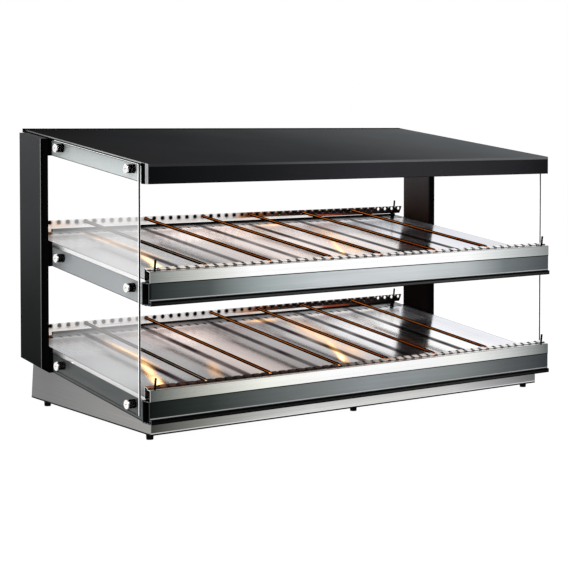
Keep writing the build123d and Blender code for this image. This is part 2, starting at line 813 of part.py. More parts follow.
# Canopy: cover with hems, front fascia, and the frame that carries the reflector
cover_underside = canopy_top_height - sheet
with BuildPart() as canopy_cover:
    top_sheet = side_face(
        sloped(canopy_front, cover_underside),
        sloped(canopy_rear, cover_underside),
        sloped(canopy_rear, canopy_top_height),
        sloped(canopy_front, canopy_top_height),
    )
    extrude(top_sheet, amount=canopy_half_width, both=True)
    rear_hem = side_face(
        sloped(canopy_rear - sheet, canopy_top_height - canopy_hem),
        sloped(canopy_rear, canopy_top_height - canopy_hem),
        sloped(canopy_rear, cover_underside),
        sloped(canopy_rear - sheet, cover_underside),
    )
    extrude(rear_hem, amount=canopy_half_width, both=True)
    for side in (-canopy_half_width, canopy_half_width - sheet):
        side_hem = side_face(
            sloped(housing_front, canopy_top_height - canopy_hem),
            sloped(canopy_rear, canopy_top_height - canopy_hem),
            sloped(canopy_rear, cover_underside),
            sloped(housing_front, cover_underside),
            across=side,
        )
        extrude(side_hem, amount=sheet)
canopy_cover.part.label = "canopy_cover"
export_step(canopy_cover.part, "parts/canopy_cover.step")

with BuildPart() as canopy_fascia:
    body = side_face(
        level(canopy_front, fascia_bottom_height),
        sloped(canopy_front, cover_underside),
        sloped(housing_front, cover_underside),
        level(housing_front, fascia_bottom_height),
    )
    extrude(body, amount=canopy_half_width, both=True)
    hollow = side_face(
        level(canopy_front + fascia_wall, fascia_bottom_height + fascia_wall),
        sloped(canopy_front + fascia_wall, cover_underside - fascia_wall),
        sloped(housing_front + fascia_wall, cover_underside - fascia_wall),
        level(housing_front + fascia_wall, fascia_bottom_height + fascia_wall),
    )
    extrude(hollow, amount=canopy_half_width - fascia_wall, both=True, mode=Mode.SUBTRACT)
    behind_lip = side_face(
        level(canopy_front + fascia_lip, fascia_bottom_height - fascia_wall),
        level(canopy_front + fascia_lip, fascia_bottom_height + 2 * fascia_wall),
        level(housing_front + fascia_wall, fascia_bottom_height + 2 * fascia_wall),
        level(housing_front + fascia_wall, fascia_bottom_height - fascia_wall),
    )
    extrude(behind_lip, amount=canopy_half_width - fascia_wall, both=True, mode=Mode.SUBTRACT)
canopy_fascia.part.label = "canopy_fascia"
export_step(canopy_fascia.part, "parts/canopy_fascia.step")

with BuildPart() as canopy_frame:
    box = side_face(
        sloped(housing_front, canopy_bottom_height),
        sloped(housing_front, cover_underside),
        sloped(canopy_rear - sheet, cover_underside),
        sloped(canopy_rear - sheet, canopy_bottom_height),
    )
    extrude(box, amount=housing_half_width, both=True)
    hollow = side_face(
        sloped(housing_front + sheet, canopy_bottom_height + sheet),
        sloped(housing_front + sheet, canopy_top_height),
        sloped(canopy_rear - 2 * sheet, canopy_top_height),
        sloped(canopy_rear - 2 * sheet, canopy_bottom_height + sheet),
    )
    extrude(hollow, amount=housing_half_width - sheet, both=True, mode=Mode.SUBTRACT)
    window = side_face(
        sloped(housing_front + flange_width, canopy_bottom_height - sheet),
        sloped(housing_front + flange_width, canopy_bottom_height + 2 * sheet),
        sloped(canopy_rear - sheet - flange_width, canopy_bottom_height + 2 * sheet),
        sloped(canopy_rear - sheet - flange_width, canopy_bottom_height - sheet),
    )
    extrude(window, amount=housing_half_width - flange_width, both=True, mode=Mode.SUBTRACT)
    with BuildSketch(Plane.YZ.offset(housing_half_width + sheet)):
        with Locations(
            *[sloped(depth, canopy_top_height - standoff_below_canopy) for depth in standoff_positions]
        ):
            Circle(stud_radius + stud_clearance)
    extrude(amount=-2 * (housing_half_width + sheet), mode=Mode.SUBTRACT)
canopy_frame.part.label = "canopy_frame"
export_step(canopy_frame.part, "parts/canopy_frame.step")

# Undersides of the canopy and of the upper shelf: reflector, heating element and lamp cups
element_up_slope = element_position / upright
for tier, underside in undersides.items():
    front_edge = (housing_front + sheet) / upright + touch_gap
    rear_edge = (housing_rear - 2 * sheet) / upright - touch_gap
    reflector_plane = lying_plane(underside + sheet)
    with BuildPart() as reflector:
        with BuildSketch(cutting_plane(underside + sheet)):
            with BuildLine():
                Polyline(
                    (front_edge, 0),
                    (element_up_slope - trough_half_width, 0),
                    (element_up_slope - trough_half_width + trough_taper, trough_height),
                    (element_up_slope + trough_half_width - trough_taper, trough_height),
                    (element_up_slope + trough_half_width, 0),
                    (rear_edge, 0),
                    (rear_edge, reflector_sheet),
                    (element_up_slope + trough_half_width + reflector_sheet, reflector_sheet),
                    (
                        element_up_slope + trough_half_width + reflector_sheet - trough_taper,
                        trough_height + reflector_sheet,
                    ),
                    (
                        element_up_slope - trough_half_width - reflector_sheet + trough_taper,
                        trough_height + reflector_sheet,
                    ),
                    (element_up_slope - trough_half_width - reflector_sheet, reflector_sheet),
                    (front_edge, reflector_sheet),
                    close=True,
                )
            make_face()
        extrude(amount=housing_half_width - sheet - touch_gap, both=True)
        with BuildSketch(reflector_plane):
            with Locations((0, lamp_position / upright)):
                with GridLocations(lamp_spacing, 1, lamp_count, 1):
                    Circle(cup_outer_radius + touch_gap)
        extrude(amount=2 * reflector_sheet, mode=Mode.SUBTRACT)
        with BuildSketch(reflector_plane.offset(trough_height - reflector_sheet)):
            with Locations((-element_half_length, element_up_slope)):
                with GridLocations(1, 2 * element_bend, 1, 2):
                    Circle(element_end_radius + touch_gap)
        extrude(amount=3 * reflector_sheet, mode=Mode.SUBTRACT)
    reflector.part.label = f"{tier}_reflector"
    export_step(reflector.part, f"parts/{tier}_reflector.step")

    # Hairpin heating element with both ends turned up through the trough
    with BuildPart() as element:
        run_end = element_half_length - element_bend
        low = element_up_slope - element_bend
        high = element_up_slope + element_bend
        with BuildSketch(cutting_plane(underside + sheet, across=-element_half_length)):
            with Locations((low, element_height), (high, element_height)):
                Circle(element_radius)
        extrude(amount=element_half_length + run_end)
        bend_centre = reflector_plane.from_local_coords((run_end, element_up_slope, element_height))
        with BuildSketch(cutting_plane(underside + sheet, across=run_end)):
            with Locations((low, element_height)):
                Circle(element_radius)
        revolve(axis=Axis(bend_centre, reflector_plane.z_dir), revolution_arc=180)
        with BuildSketch(reflector_plane.offset(element_height - element_heel)):
            with Locations((-element_half_length, low), (-element_half_length, high)):
                Circle(element_end_radius)
        extrude(amount=trough_height + element_heel)
    element.part.label = f"{tier}_heating_element"
    export_step(element.part, f"parts/{tier}_heating_element.step")

# Clips that hold the elements under the trough
with BuildPart() as element_clips:
    for underside in undersides.values():
        for across in (-clip_spacing, 0, clip_spacing):
            with BuildSketch(cutting_plane(underside + sheet, across=across - clip_width / 2)):
                with Locations((element_up_slope, (clip_bottom + trough_height) / 2)):
                    Rectangle(2 * clip_half_length, trough_height - clip_bottom)
                with Locations((element_up_slope, element_height)):
                    with GridLocations(2 * element_bend, 1, 2, 1):
                        Circle(element_radius + touch_gap, mode=Mode.SUBTRACT)
            extrude(amount=clip_width)
element_clips.part.label = "element_clips"
export_step(element_clips.part, "parts/element_clips.step")

# Lamp cups with a rim under the reflector, a glass lens on each rim, and a bulb in each cup
lamp_seats = [lying_plane(underside + sheet) for underside in undersides.values()]
lamp_up_slope = lamp_position / upright
lamp_places = [
    ((column - (lamp_count - 1) / 2) * lamp_spacing, lamp_up_slope) for column in range(lamp_count)
]
with BuildPart() as lamp_cups:
    for seat in lamp_seats:
        with BuildSketch(seat):
            with Locations(*lamp_places):
                Circle(cup_outer_radius + cup_rim)
                Circle(lens_radius - lens_seat, mode=Mode.SUBTRACT)
        extrude(amount=-sheet)
        with BuildSketch(seat):
            with Locations(*lamp_places):
                Circle(cup_outer_radius)
                Circle(cup_outer_radius - cup_wall, mode=Mode.SUBTRACT)
        extrude(amount=cup_height)
        with BuildSketch(seat.offset(cup_height)):
            with Locations(*lamp_places):
                Circle(cup_outer_radius)
        extrude(amount=-cup_wall)
lamp_cups.part.label = "lamp_cups"
export_step(lamp_cups.part, "parts/lamp_cups.step")

with BuildPart() as lamp_lenses:
    for seat in lamp_seats:
        with BuildSketch(seat):
            with Locations(*lamp_places):
                Circle(lens_radius)
        extrude(amount=lens_thickness)
lamp_lenses.part.label = "lamp_lenses"
export_step(lamp_lenses.part, "parts/lamp_lenses.step")

bulb_length = cup_height - cup_wall - lens_thickness - bulb_gap
with BuildPart() as lamp_bulbs:
    for seat in lamp_seats:
        with BuildSketch(seat.offset(cup_height - cup_wall)):
            with Locations(*lamp_places):
                Circle(bulb_radius)
        extrude(amount=bulb_radius - bulb_length)
        tip_height = lens_thickness + bulb_gap + bulb_radius
        for across, up in lamp_places:
            with Locations(seat.from_local_coords((across, up, tip_height))):
                Sphere(bulb_radius)
lamp_bulbs.part.label = "lamp_bulbs"
export_step(lamp_bulbs.part, "parts/lamp_bulbs.step")

# Posts: an outer and an inner half shell on each side, ends cut along the slope
post_outer_face = post_inner_face + post_width
shell_depth = post_width / 2


def post_outline():
    """Side view of a post, drawn on the side plane of the sketch in progress."""
    return Polyline(
        sloped(post_front, post_bottom_height),
        sloped(post_rear, post_bottom_height),
        sloped(post_rear, post_top_height),
        sloped(post_front, post_top_height),
        close=True,
    )


for side, inwards in (("right", -1), ("left", 1)):
    with BuildPart() as outer_shell:
        with BuildSketch(Plane.YZ.offset(-inwards * post_outer_face)):
            with BuildLine():
                post_outline()
            make_face()
        extrude(amount=inwards * shell_depth)
        open_face = outer_shell.faces().filter_by(Axis.X).sort_by(Axis.X)[0 if inwards < 0 else -1]
        offset(amount=-sheet, openings=open_face, kind=Kind.INTERSECTION)
    outer_shell.part.label = f"{side}_post_outer_shell"
    export_step(outer_shell.part, f"parts/{side}_post_outer_shell.step")

with BuildPart() as post_inner_shells:
    with BuildSketch(Plane.YZ.offset(post_inner_face)):
        with BuildLine():
            post_outline()
        make_face()
    extrude(amount=shell_depth)
    open_face = post_inner_shells.faces().filter_by(Axis.X).sort_by(Axis.X)[-1]
    offset(amount=-sheet, openings=open_face, kind=Kind.INTERSECTION)
    mirror(about=Plane.YZ)
post_inner_shells.part.label = "post_inner_shells"
export_step(post_inner_shells.part, "parts/post_inner_shells.step")

# Brackets that join the two shelf housings and the canopy frame to the posts
bracket_spans = [
    (tray_height - housing_height, tray_height - sheet) for tray_height in trays.values()
] + [(canopy_bottom_height, canopy_top_height - canopy_hem)]
with BuildPart() as shelf_brackets:
    for low, high in bracket_spans:
        for side in (-post_inner_face, housing_half_width):
            block = side_face(
                sloped(post_front, low),
                sloped(post_rear, low),
                sloped(post_rear, high),
                sloped(post_front, high),
                across=side,
            )
            extrude(block, amount=post_inner_face - housing_half_width)
shelf_brackets.part.label = "shelf_brackets"
export_step(shelf_brackets.part, "parts/shelf_brackets.step")

# Side panes with holes for the stand-offs
standoff_places = [
    sloped(depth, height)
    for depth in standoff_positions
    for height in (
        lower_tray_height - standoff_below_tray,
        upper_tray_height - standoff_below_tray,
        canopy_top_height - standoff_below_canopy,
    )
]
for name, inner_face in (("left_pane", -pane_outer_face), ("right_pane", pane_inner_face)):
    with BuildPart() as pane:
        corners = side_face(
            sloped(pane_front, pane_bottom_height),
            sloped(pane_rear, pane_bottom_height),
            sloped(pane_rear, pane_top_height),
            sloped(pane_front, pane_top_height),
            across=inner_face,
        )
        extrude(corners, amount=pane_thickness)
        fillet(pane.edges().filter_by(Axis.X), pane_corner_radius)
        chamfer(pane.faces().filter_by(Axis.X).edges(), pane_bevel)
        with BuildSketch(Plane.YZ.offset(inner_face)):
            with Locations(*standoff_places):
                Circle(pane_hole_radius)
        extrude(amount=pane_thickness, mode=Mode.SUBTRACT)
    pane.part.label = name
    export_step(pane.part, f"parts/{name}.step")

# Stand-offs: a capped stud through the pane, and a spacer between the pane and the housing
spacer_length = pane_inner_face - housing_half_width
with BuildPart() as standoff_caps:
    with BuildSketch(Plane.YZ.offset(pane_outer_face)):
        with Locations(*standoff_places):
            Circle(cap_radius)
    extrude(amount=cap_thickness)
    rims = standoff_caps.edges().filter_by(GeomType.CIRCLE).group_by(Axis.X)[-1]
    fillet(rims, cap_rounding)
    with BuildSketch(Plane.YZ.offset(pane_outer_face)):
        with Locations(*standoff_places):
            Circle(stud_radius)
    extrude(amount=-(pane_outer_face - housing_half_width + stud_reach))
    mirror(about=Plane.YZ)
standoff_caps.part.label = "standoff_caps"
export_step(standoff_caps.part, "parts/standoff_caps.step")

with BuildPart() as standoff_spacers:
    with BuildSketch(Plane.YZ.offset(housing_half_width)):
        with Locations(*standoff_places):
            Circle(spacer_radius)
            Circle(stud_radius + stud_clearance, mode=Mode.SUBTRACT)
    extrude(amount=spacer_length)
    mirror(about=Plane.YZ)
standoff_spacers.part.label = "standoff_spacers"
export_step(standoff_spacers.part, "parts/standoff_spacers.step")
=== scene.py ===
from functools import partial
from math import cos, radians, sin, tan

import bmesh
import bpy
from mathutils import Matrix, Vector


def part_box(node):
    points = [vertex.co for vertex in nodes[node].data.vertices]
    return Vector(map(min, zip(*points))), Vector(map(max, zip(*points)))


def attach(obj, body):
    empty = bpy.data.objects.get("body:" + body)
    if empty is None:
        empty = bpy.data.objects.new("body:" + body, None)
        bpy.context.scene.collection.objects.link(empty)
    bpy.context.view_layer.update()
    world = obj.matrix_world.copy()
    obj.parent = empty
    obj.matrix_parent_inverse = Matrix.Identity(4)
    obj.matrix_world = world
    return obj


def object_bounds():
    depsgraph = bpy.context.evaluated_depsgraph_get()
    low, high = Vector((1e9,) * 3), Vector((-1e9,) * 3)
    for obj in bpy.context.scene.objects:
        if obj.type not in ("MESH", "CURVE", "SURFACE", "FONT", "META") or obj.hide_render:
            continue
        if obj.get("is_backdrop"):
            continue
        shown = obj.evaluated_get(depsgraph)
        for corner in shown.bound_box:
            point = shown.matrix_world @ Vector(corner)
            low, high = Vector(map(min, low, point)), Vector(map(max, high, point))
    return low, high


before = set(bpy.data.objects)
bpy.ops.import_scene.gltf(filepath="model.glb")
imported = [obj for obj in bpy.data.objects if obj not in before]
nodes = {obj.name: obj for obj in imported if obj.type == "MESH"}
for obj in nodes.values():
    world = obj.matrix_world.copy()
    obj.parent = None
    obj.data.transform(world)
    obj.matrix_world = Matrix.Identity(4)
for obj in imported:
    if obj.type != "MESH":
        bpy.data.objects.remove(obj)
low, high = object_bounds()

# Sizes that the part's source gives, in metres
TILT = radians(7.0)
SLOPE = tan(TILT)
BASE_FRONT = -0.2797955
TRAYS = {"lower": 0.099, "upper": 0.356}
HOLE_PITCH = 0.025
HOLE_HEIGHT = 0.0263  # of the rear rail's holes above the tray
RODS = {"lower": (-18, -11, -3, 3, 9, 16), "upper": (-18, -11, -4, 2, 9, 16)}
CANOPY_TOP = 0.611
REAR_RAIL = 0.2652045
CONTROL_HEIGHT = 0.048  # of the switches and knobs along the control panel
PANEL_FOOT = (0.2992045, 0.0137)
POST_JOINT = (0.1672, 0.1686)  # where the two shells of a post meet

# Half the width over which a piece's colours are graded
TRAY_HALF = 0.6
RAIL_HALF = 0.604
CANOPY_HALF = 0.605
BASE_HALF = 0.585

# Brushed lines: noise stretched along X, or along Y, and how deep all grain is
LINES = {"X": (1.5, 420.0, 420.0), "Y": (420.0, 1.5, 420.0)}
GRAIN_DEPTH = 0.0002
SQUARE_ON = 0.7  # how much of a normal has to lie along an axis
THIN = 0.0003  # the soft edge of a thin line
WHITE = (1.0, 1.0, 1.0, 1.0)

# Pools of lamp light on the trays: place, reach, turn in degrees and strength
POOLS = {
    "upper": (
        ((-0.483, -0.105), (0.02, 0.2), -16.0, 0.72),
        ((-0.5, -0.165), (0.02, 0.09), -17.0, 1.1),
        ((-0.452, 0.09), (0.026, 0.24), 5.0, 0.46),
        ((0.09, -0.07), (0.018, 0.2), -29.0, 0.66),
        ((0.06, -0.125), (0.013, 0.08), -29.0, 0.95),
        ((0.16, 0.04), (0.05, 0.22), -22.0, 0.42),
        ((0.11, -0.11), (0.04, 0.09), -24.0, 0.4),
        ((0.1, 0.235), (0.09, 0.03), 0.0, 0.5),
    ),
    "lower": (
        ((-0.483, -0.1), (0.022, 0.22), -20.0, 0.72),
        ((-0.507, -0.175), (0.022, 0.1), -19.0, 1.1),
        ((-0.443, 0.05), (0.024, 0.18), 0.0, 0.46),
        ((0.07, -0.09), (0.02, 0.22), -24.0, 0.7),
        ((0.036, -0.155), (0.014, 0.08), -28.0, 0.95),
        ((0.125, 0.06), (0.06, 0.28), -12.0, 0.5),
        ((0.11, -0.1), (0.05, 0.12), -20.0, 0.36),
        ((-0.33, -0.14), (0.026, 0.12), -26.0, 0.36),
        ((0.07, 0.235), (0.09, 0.03), 0.0, 0.55),
    ),
}

# Grades: a place from 0 to 1, and a grey or a colour in screen values from 0 to 255
# The trays' steel, with painted reflections and shade across it, one set for each tier
TRAY_GRADES = {
    "upper": (
        (0.0, (90, 94, 98)), (0.21, (102, 98, 99)), (0.32, (200, 184, 178)), (0.48, (246, 224, 214)),
        (0.66, (236, 224, 220)), (0.82, (226, 228, 236)), (0.95, (206, 210, 220)),
    ),
    "lower": (
        (0.0, (86, 90, 94)), (0.2, (108, 103, 104)), (0.32, (208, 186, 178)), (0.41, (116, 106, 105)),
        (0.56, (176, 172, 174)), (0.72, (254, 252, 255)), (0.86, (255, 255, 255)), (0.96, (226, 228, 236)),
    ),
}
# The trays' hems: one steel, painted lighter on the upper tier than on the lower
HEM_TONES = {"upper": 232, "lower": 196}
GLOW_GRADES = (
    (0.0, (36, 34, 34)), (0.3, (112, 74, 40)), (0.5, (206, 146, 84)), (0.75, (255, 224, 150)),
    (1.0, (255, 252, 236)),
)
# The front rails' bands: steel with painted reflections along it, one set for each tier
BAND_GRADES = {
    "upper": (
        (0.0, (120, 124, 122)), (0.12, (206, 208, 202)), (0.22, 250), (0.76, 250), (0.88, (200, 205, 205)),
        (1.0, (138, 142, 142)),
    ),
    "lower": (
        (0.0, (82, 87, 84)), (0.127, (187, 189, 181)), (0.25, (238, 240, 232)), (0.4, 250), (0.66, 242),
        (0.76, (239, 240, 237)), (0.88, (196, 199, 198)), (1.0, (96, 101, 98)),
    ),
}
# The front rails' teeth: painted light and shade along them, one set for each tier, dark on the lower tier's
# left
TEETH_GRADES = {
    "upper": ((0.0, (236, 226, 214)), (0.5, 250), (1.0, 250)),
    "lower": (
        (0.0, (150, 104, 76)), (0.05, (70, 40, 30)), (0.14, (18, 12, 11)), (0.42, (30, 22, 20)),
        (0.6, (214, 204, 196)), (0.8, 250),
    ),
}
FLANGE_GRADES = ((0.0, 250), (0.72, 244), (0.78, (150, 70, 44)), (0.84, (40, 20, 14)), (0.92, (10, 8, 8)))
HOLED_GRADES = ((0.0, 250), (0.46, 244), (0.56, (120, 70, 44)), (0.64, (26, 16, 13)), (0.8, (8, 6, 6)))
# Painted reflections along the ticket strips, one set for each tier
STRIP_GRADES = {
    "upper": (
        (0.0, (34, 38, 39)), (0.127, (75, 81, 81)), (0.25, (153, 162, 162)), (0.376, (184, 190, 193)),
        (0.5, (193, 198, 200)), (0.62, (196, 201, 203)), (0.75, (178, 184, 186)),
        (0.87, (108, 115, 117)), (1.0, (70, 74, 77)),
    ),
    "lower": (
        (0.0, (16, 20, 19)), (0.127, (46, 53, 50)), (0.252, (88, 93, 93)), (0.376, (115, 121, 120)),
        (0.5, (137, 143, 146)), (0.62, (138, 144, 145)), (0.75, (123, 128, 129)), (0.87, (89, 93, 95)),
        (1.0, (52, 56, 60)),
    ),
}
# Painted sheen along the profiles' lips, one set for each tier
PROFILE_GRADES = {
    "upper": ((0.0, 18), (0.3, 54), (0.7, 62), (1.0, 34)),
    "lower": ((0.0, 9), (0.4, 30), (0.75, 48), (1.0, 18)),
}
PROFILE_END_GRADES = ((0.35, (40, 42, 44)), (0.5, (84, 88, 90)), (0.65, (130, 134, 136)))
# Painted light across the canopy top, lighter to the right
CANOPY_GRADES = (
    (0.0, (39, 39, 40)), (0.25, (45, 46, 48)), (0.5, (55, 57, 59)), (0.75, (76, 78, 80)), (1.0, (90, 93, 95)),
)
# Painted sheen across the fascia, lightest in its middle
FASCIA_GRADES = (
    (0.0, (12, 13, 14)), (0.25, (26, 27, 28)), (0.5, (44, 43, 47)), (0.62, (46, 46, 49)),
    (0.75, (42, 41, 44)), (0.9, (36, 35, 38)), (1.0, (22, 22, 24)),
)
FASCIA_END_GRADES = ((0.35, (84, 84, 86)), (0.5, (136, 136, 138)), (0.65, (196, 197, 198)))
# Painted light on the posts, lighter towards the top
POST_GRADES = ((0.0, (24, 25, 25)), (0.35, (42, 44, 44)), (0.7, (62, 64, 65)), (1.0, (74, 75, 76)))
# Painted reflections of the trays inside the posts
INNER_POST_GRADES = (
    (0.0, (30, 24, 22)), (0.35, (16, 14, 15)), (0.5, (34, 24, 20)), (0.66, (56, 45, 40)), (0.9, (88, 85, 87)),
)
# Painted reflections across the base's front, darker towards its ends; on its ends painted light, darker
# towards the rear
BASE_GRADES = (
    (0.0, (64, 65, 63)), (0.115, (135, 135, 129)), (0.244, (188, 189, 186)), (0.372, (216, 217, 215)),
    (0.63, (214, 214, 211)), (0.756, (204, 204, 204)), (0.885, (160, 159, 162)), (1.0, (110, 110, 109)),
)
BASE_SIDE_GRADES = ((0.0, (156, 155, 153)), (1.0, (114, 114, 114)))
# Painted reflections on the rods, by facing: an orange glint on top over dark, and a paler grey glint for the
# rods at the left
ORANGE_GLINT_GRADES = (
    (0.0, (6, 4, 4)), (0.55, (10, 5, 4)), (0.64, (78, 28, 10)), (0.725, (250, 146, 66)), (0.79, (96, 36, 15)),
    (0.85, (14, 6, 5)), (1.0, (8, 4, 4)),
)
GREY_GLINT_GRADES = (
    (0.0, (6, 5, 5)), (0.54, (10, 7, 6)), (0.68, (60, 40, 30)), (0.76, (176, 150, 126)), (0.85, (20, 12, 10)),
)
# The pane's edges, by facing: black in front, with painted highlights on the bevels
GLASS_EDGE_GRADES = ((0.0, (3, 4, 4)), (0.45, (4, 5, 5)), (0.55, 245), (0.9, 250))


# -------------------------------- how finishes are made

def new_node(tree, kind, *links, **settings):
    """A node with its settings; links are (input, output socket or plain value) pairs."""
    node = tree.nodes.new(kind)
    for key, value in settings.items():
        setattr(node, key, value)
    for socket, value in links:
        if isinstance(value, bpy.types.NodeSocket):
            tree.links.new(value, node.inputs[socket])
        else:
            node.inputs[socket].default_value = value
    return node


def colour(tone):
    """A grey written as a screen value from 0 to 255, or three of them, as a linear colour."""
    parts = tone if isinstance(tone, tuple) else (tone, tone, tone)
    return tuple(
        part / 255 / 12.92 if part / 255 <= 0.04045 else ((part / 255 + 0.055) / 1.055) ** 2.4
        for part in parts
    )


class Finish:
    """A material made of a Principled shader and the nodes that feed it."""

    def __init__(self, name, metallic=0.0, roughness=0.5, **sockets):
        self.material = bpy.data.materials.new(name)
        self.material.use_nodes = True
        self.tree = self.material.node_tree
        self.add = partial(new_node, self.tree)
        self.shader = self.tree.nodes["Principled BSDF"]
        self.preset("Metallic", metallic)
        self.preset("Roughness", roughness)
        for socket, value in sockets.items():
            self.preset(socket.replace("_", " "), value)
        self.place = self.add("ShaderNodeTexCoord").outputs["Object"]

    def preset(self, socket, value):
        """Gives the shader a plain value."""
        self.shader.inputs[socket].default_value = value

    def feed(self, socket, value):
        """Gives the shader a worked-out value."""
        self.tree.links.new(value, self.shader.inputs[socket])

    def noise(self, scale, detail=4.0, size=1.0):
        """Noise over stretched object coordinates, from 0 to 1."""
        place = self.add("ShaderNodeMapping", ("Vector", self.place), ("Scale", scale)).outputs["Vector"]
        return self.add(
            "ShaderNodeTexNoise", ("Vector", place), ("Scale", size), ("Detail", detail), ("Roughness", 0.55)
        ).outputs["Fac"]

    def axis(self, letter):
        """One of the object coordinates."""
        return self.add("ShaderNodeSeparateXYZ", ("Vector", self.place)).outputs[letter]

    def facing(self, letter):
        """One part of the surface's normal."""
        normal = self.add("ShaderNodeNewGeometry").outputs["Normal"]
        return self.add("ShaderNodeSeparateXYZ", ("Vector", normal)).outputs[letter]

    def maths(self, operation, first, second=0.0):
        return self.add("ShaderNodeMath", (0, first), (1, second), operation=operation).outputs[0]

    def times(self, product, *others):
        """The product of values; of masks, 1 where all of them are."""
        for other in others:
            product = self.maths("MULTIPLY", product, other)
        return product

    def most(self, largest, *others):
        """The largest of values."""
        for other in others:
            largest = self.maths("MAXIMUM", largest, other)
        return largest

    def plus(self, first, second):
        return self.maths("ADD", first, second)

    def minus(self, first, second):
        return self.maths("SUBTRACT", first, second)

    def size(self, value):
        """A value without its sign."""
        return self.maths("ABSOLUTE", value)

    def sideways(self, limit=SQUARE_ON):
        """1 on the faces that look to the left or to the right."""
        return self.maths("GREATER_THAN", self.size(self.facing("X")), limit)

    def turned(self, letter, side=1.0):
        """1 on the faces that look along an axis."""
        return self.maths("GREATER_THAN", self.times(self.facing(letter), side), SQUARE_ON)

    def level(self):
        """Height above the sloping plane that passes through the base's front edge."""
        back = self.minus(self.axis("Y"), BASE_FRONT)
        return self.minus(self.axis("Z"), self.times(back, SLOPE))

    def off_hole(self, value):
        """How far a value lies from the nearest hole of a row, as a share of the pitch."""
        steps = self.maths("DIVIDE", value, HOLE_PITCH)
        return self.minus(steps, self.maths("ROUND", steps))

    def spread(self, value, low, high, to_low=0.0, to_high=1.0, smooth=False):
        """A value mapped from one range to another."""
        return self.add(
            "ShaderNodeMapRange",
            ("Value", value),
            ("From Min", low),
            ("From Max", high),
            ("To Min", to_low),
            ("To Max", to_high),
            interpolation_type="SMOOTHSTEP" if smooth else "LINEAR",
        ).outputs["Result"]

    def along(self, letter, *ranges):
        """A coordinate mapped from one range to another."""
        return self.spread(self.axis(letter), *ranges)

    def across(self, half):
        """The place along the cabinet's width, from 0 on the left to 1 on the right."""
        return self.along("X", -half, half)

    def vary(self, noise, low, high):
        """Noise made to run from one value to another."""
        return self.spread(noise, 0.3, 0.7, low, high)

    def stripe(self, value, low, high, edge=0.0004):
        """1 where a value lies between two limits, with soft edges."""
        return self.times(
            self.spread(value, low - edge, low + edge),
            self.spread(value, high - edge, high + edge, 1.0, 0.0),
        )

    def ramp(self, value, grades):
        """Colours along a value."""
        node = self.add("ShaderNodeValToRGB", ("Fac", value))
        band = node.color_ramp
        while len(band.elements) < len(grades):
            band.elements.new(0.5)
        for element, (place, tone) in zip(band.elements, grades):
            element.position = place
            element.color = (*colour(tone), 1.0)
        return node.outputs["Color"]

    def painted(self, tint, *coats):
        """A tint with coats over it in turn; each is a colour and the masks that say how much of it."""
        for coat, *masks in coats:
            node = self.add("ShaderNodeMix", (0, self.times(*masks)), data_type="RGBA")
            for socket, value in ((6, tint), (7, coat)):
                if isinstance(value, bpy.types.NodeSocket):
                    self.tree.links.new(value, node.inputs[socket])
                else:
                    node.inputs[socket].default_value = (*colour(value), 1.0)
            tint = node.outputs[2]
        return tint

    def plain(self, tint):
        """A socket that carries a colour, so that others can change it."""
        if isinstance(tint, bpy.types.NodeSocket):
            return tint
        return self.add("ShaderNodeCombineXYZ", *enumerate(colour(tint))).outputs[0]

    def grey(self, value):
        """One number as the three parts of a vector."""
        return self.add("ShaderNodeCombineXYZ", (0, value), (1, value), (2, value)).outputs[0]

    def shaded(self, tint, wave):
        """A tint multiplied by a number."""
        return self.add(
            "ShaderNodeVectorMath", (0, self.plain(tint)), (1, self.grey(wave)), operation="MULTIPLY"
        ).outputs[0]

    def speckled(self, tint, scale, amount):
        """A tint made lighter and darker by noise."""
        return self.shaded(tint, self.vary(self.noise(scale), 1.0 - amount, 1.0 + amount))

    def relief(self, height, strength):
        """Bump from a height."""
        bump = self.add(
            "ShaderNodeBump", ("Height", height), ("Strength", strength), ("Distance", GRAIN_DEPTH)
        )
        self.feed("Normal", bump.outputs["Normal"])

    def roughen(self, grain, roughness, bump):
        """Roughness between two values, and bump, both from a grain."""
        self.feed("Roughness", self.vary(grain, *roughness))
        self.relief(grain, bump)

    def steel(self, tint, grain, shades, roughness, bump):
        """A tint whose shade, roughness and relief follow a grain."""
        self.feed("Base Color", self.shaded(tint, self.vary(grain, *shades)))
        self.roughen(grain, roughness, bump)

    def lit(self, tint, strength):
        """Makes the finish glow."""
        self.preset("Emission Color", (*colour(tint), 1.0))
        self.preset("Emission Strength", strength)
        return self


# -------------------------------- finishes

def brushed(name, tone, letter, roughness=0.3, amount=0.12, metallic=1.0):
    """Brushed steel with its lines along X or along Y."""
    finish = Finish(name, metallic=metallic, roughness=roughness)
    grain = finish.noise(LINES[letter])
    wave = finish.vary(grain, 1.0 - amount, 1.0 + amount)
    cloud = finish.vary(finish.noise((7.0, 9.0, 9.0), 3.0), 0.95, 1.05)
    finish.feed("Base Color", finish.shaded(tone, finish.times(wave, cloud)))
    finish.roughen(grain, (roughness * 0.75, roughness * 1.3), 0.12)
    return finish


def moulded(name, tone, roughness=0.5, sheen=0.25, grain=1400.0):
    """Moulded plastic or rubber with a fine spark-eroded grain."""
    finish = Finish(name, roughness=roughness, Specular_IOR_Level=sheen)
    finish.feed("Base Color", finish.speckled(tone, (60.0, 60.0, 60.0), 0.1))
    finish.roughen(finish.noise((grain, grain, grain), 2.0), (roughness * 0.85, roughness * 1.15), 0.15)
    return finish


def coated(name, tint_maker, roughness=0.5):
    """Black powder coat that soaks up light: its tints, painted light and shade among them, are worked out
    from place and facing.
    """
    finish = Finish(name, roughness=roughness, Specular_IOR_Level=0.0)
    finish.feed("Base Color", finish.speckled(tint_maker(finish), (6.0, 6.0, 6.0), 0.06))
    finish.roughen(finish.noise((900.0, 900.0, 900.0), 3.0), (roughness * 0.85, roughness * 1.15), 0.1)
    return finish


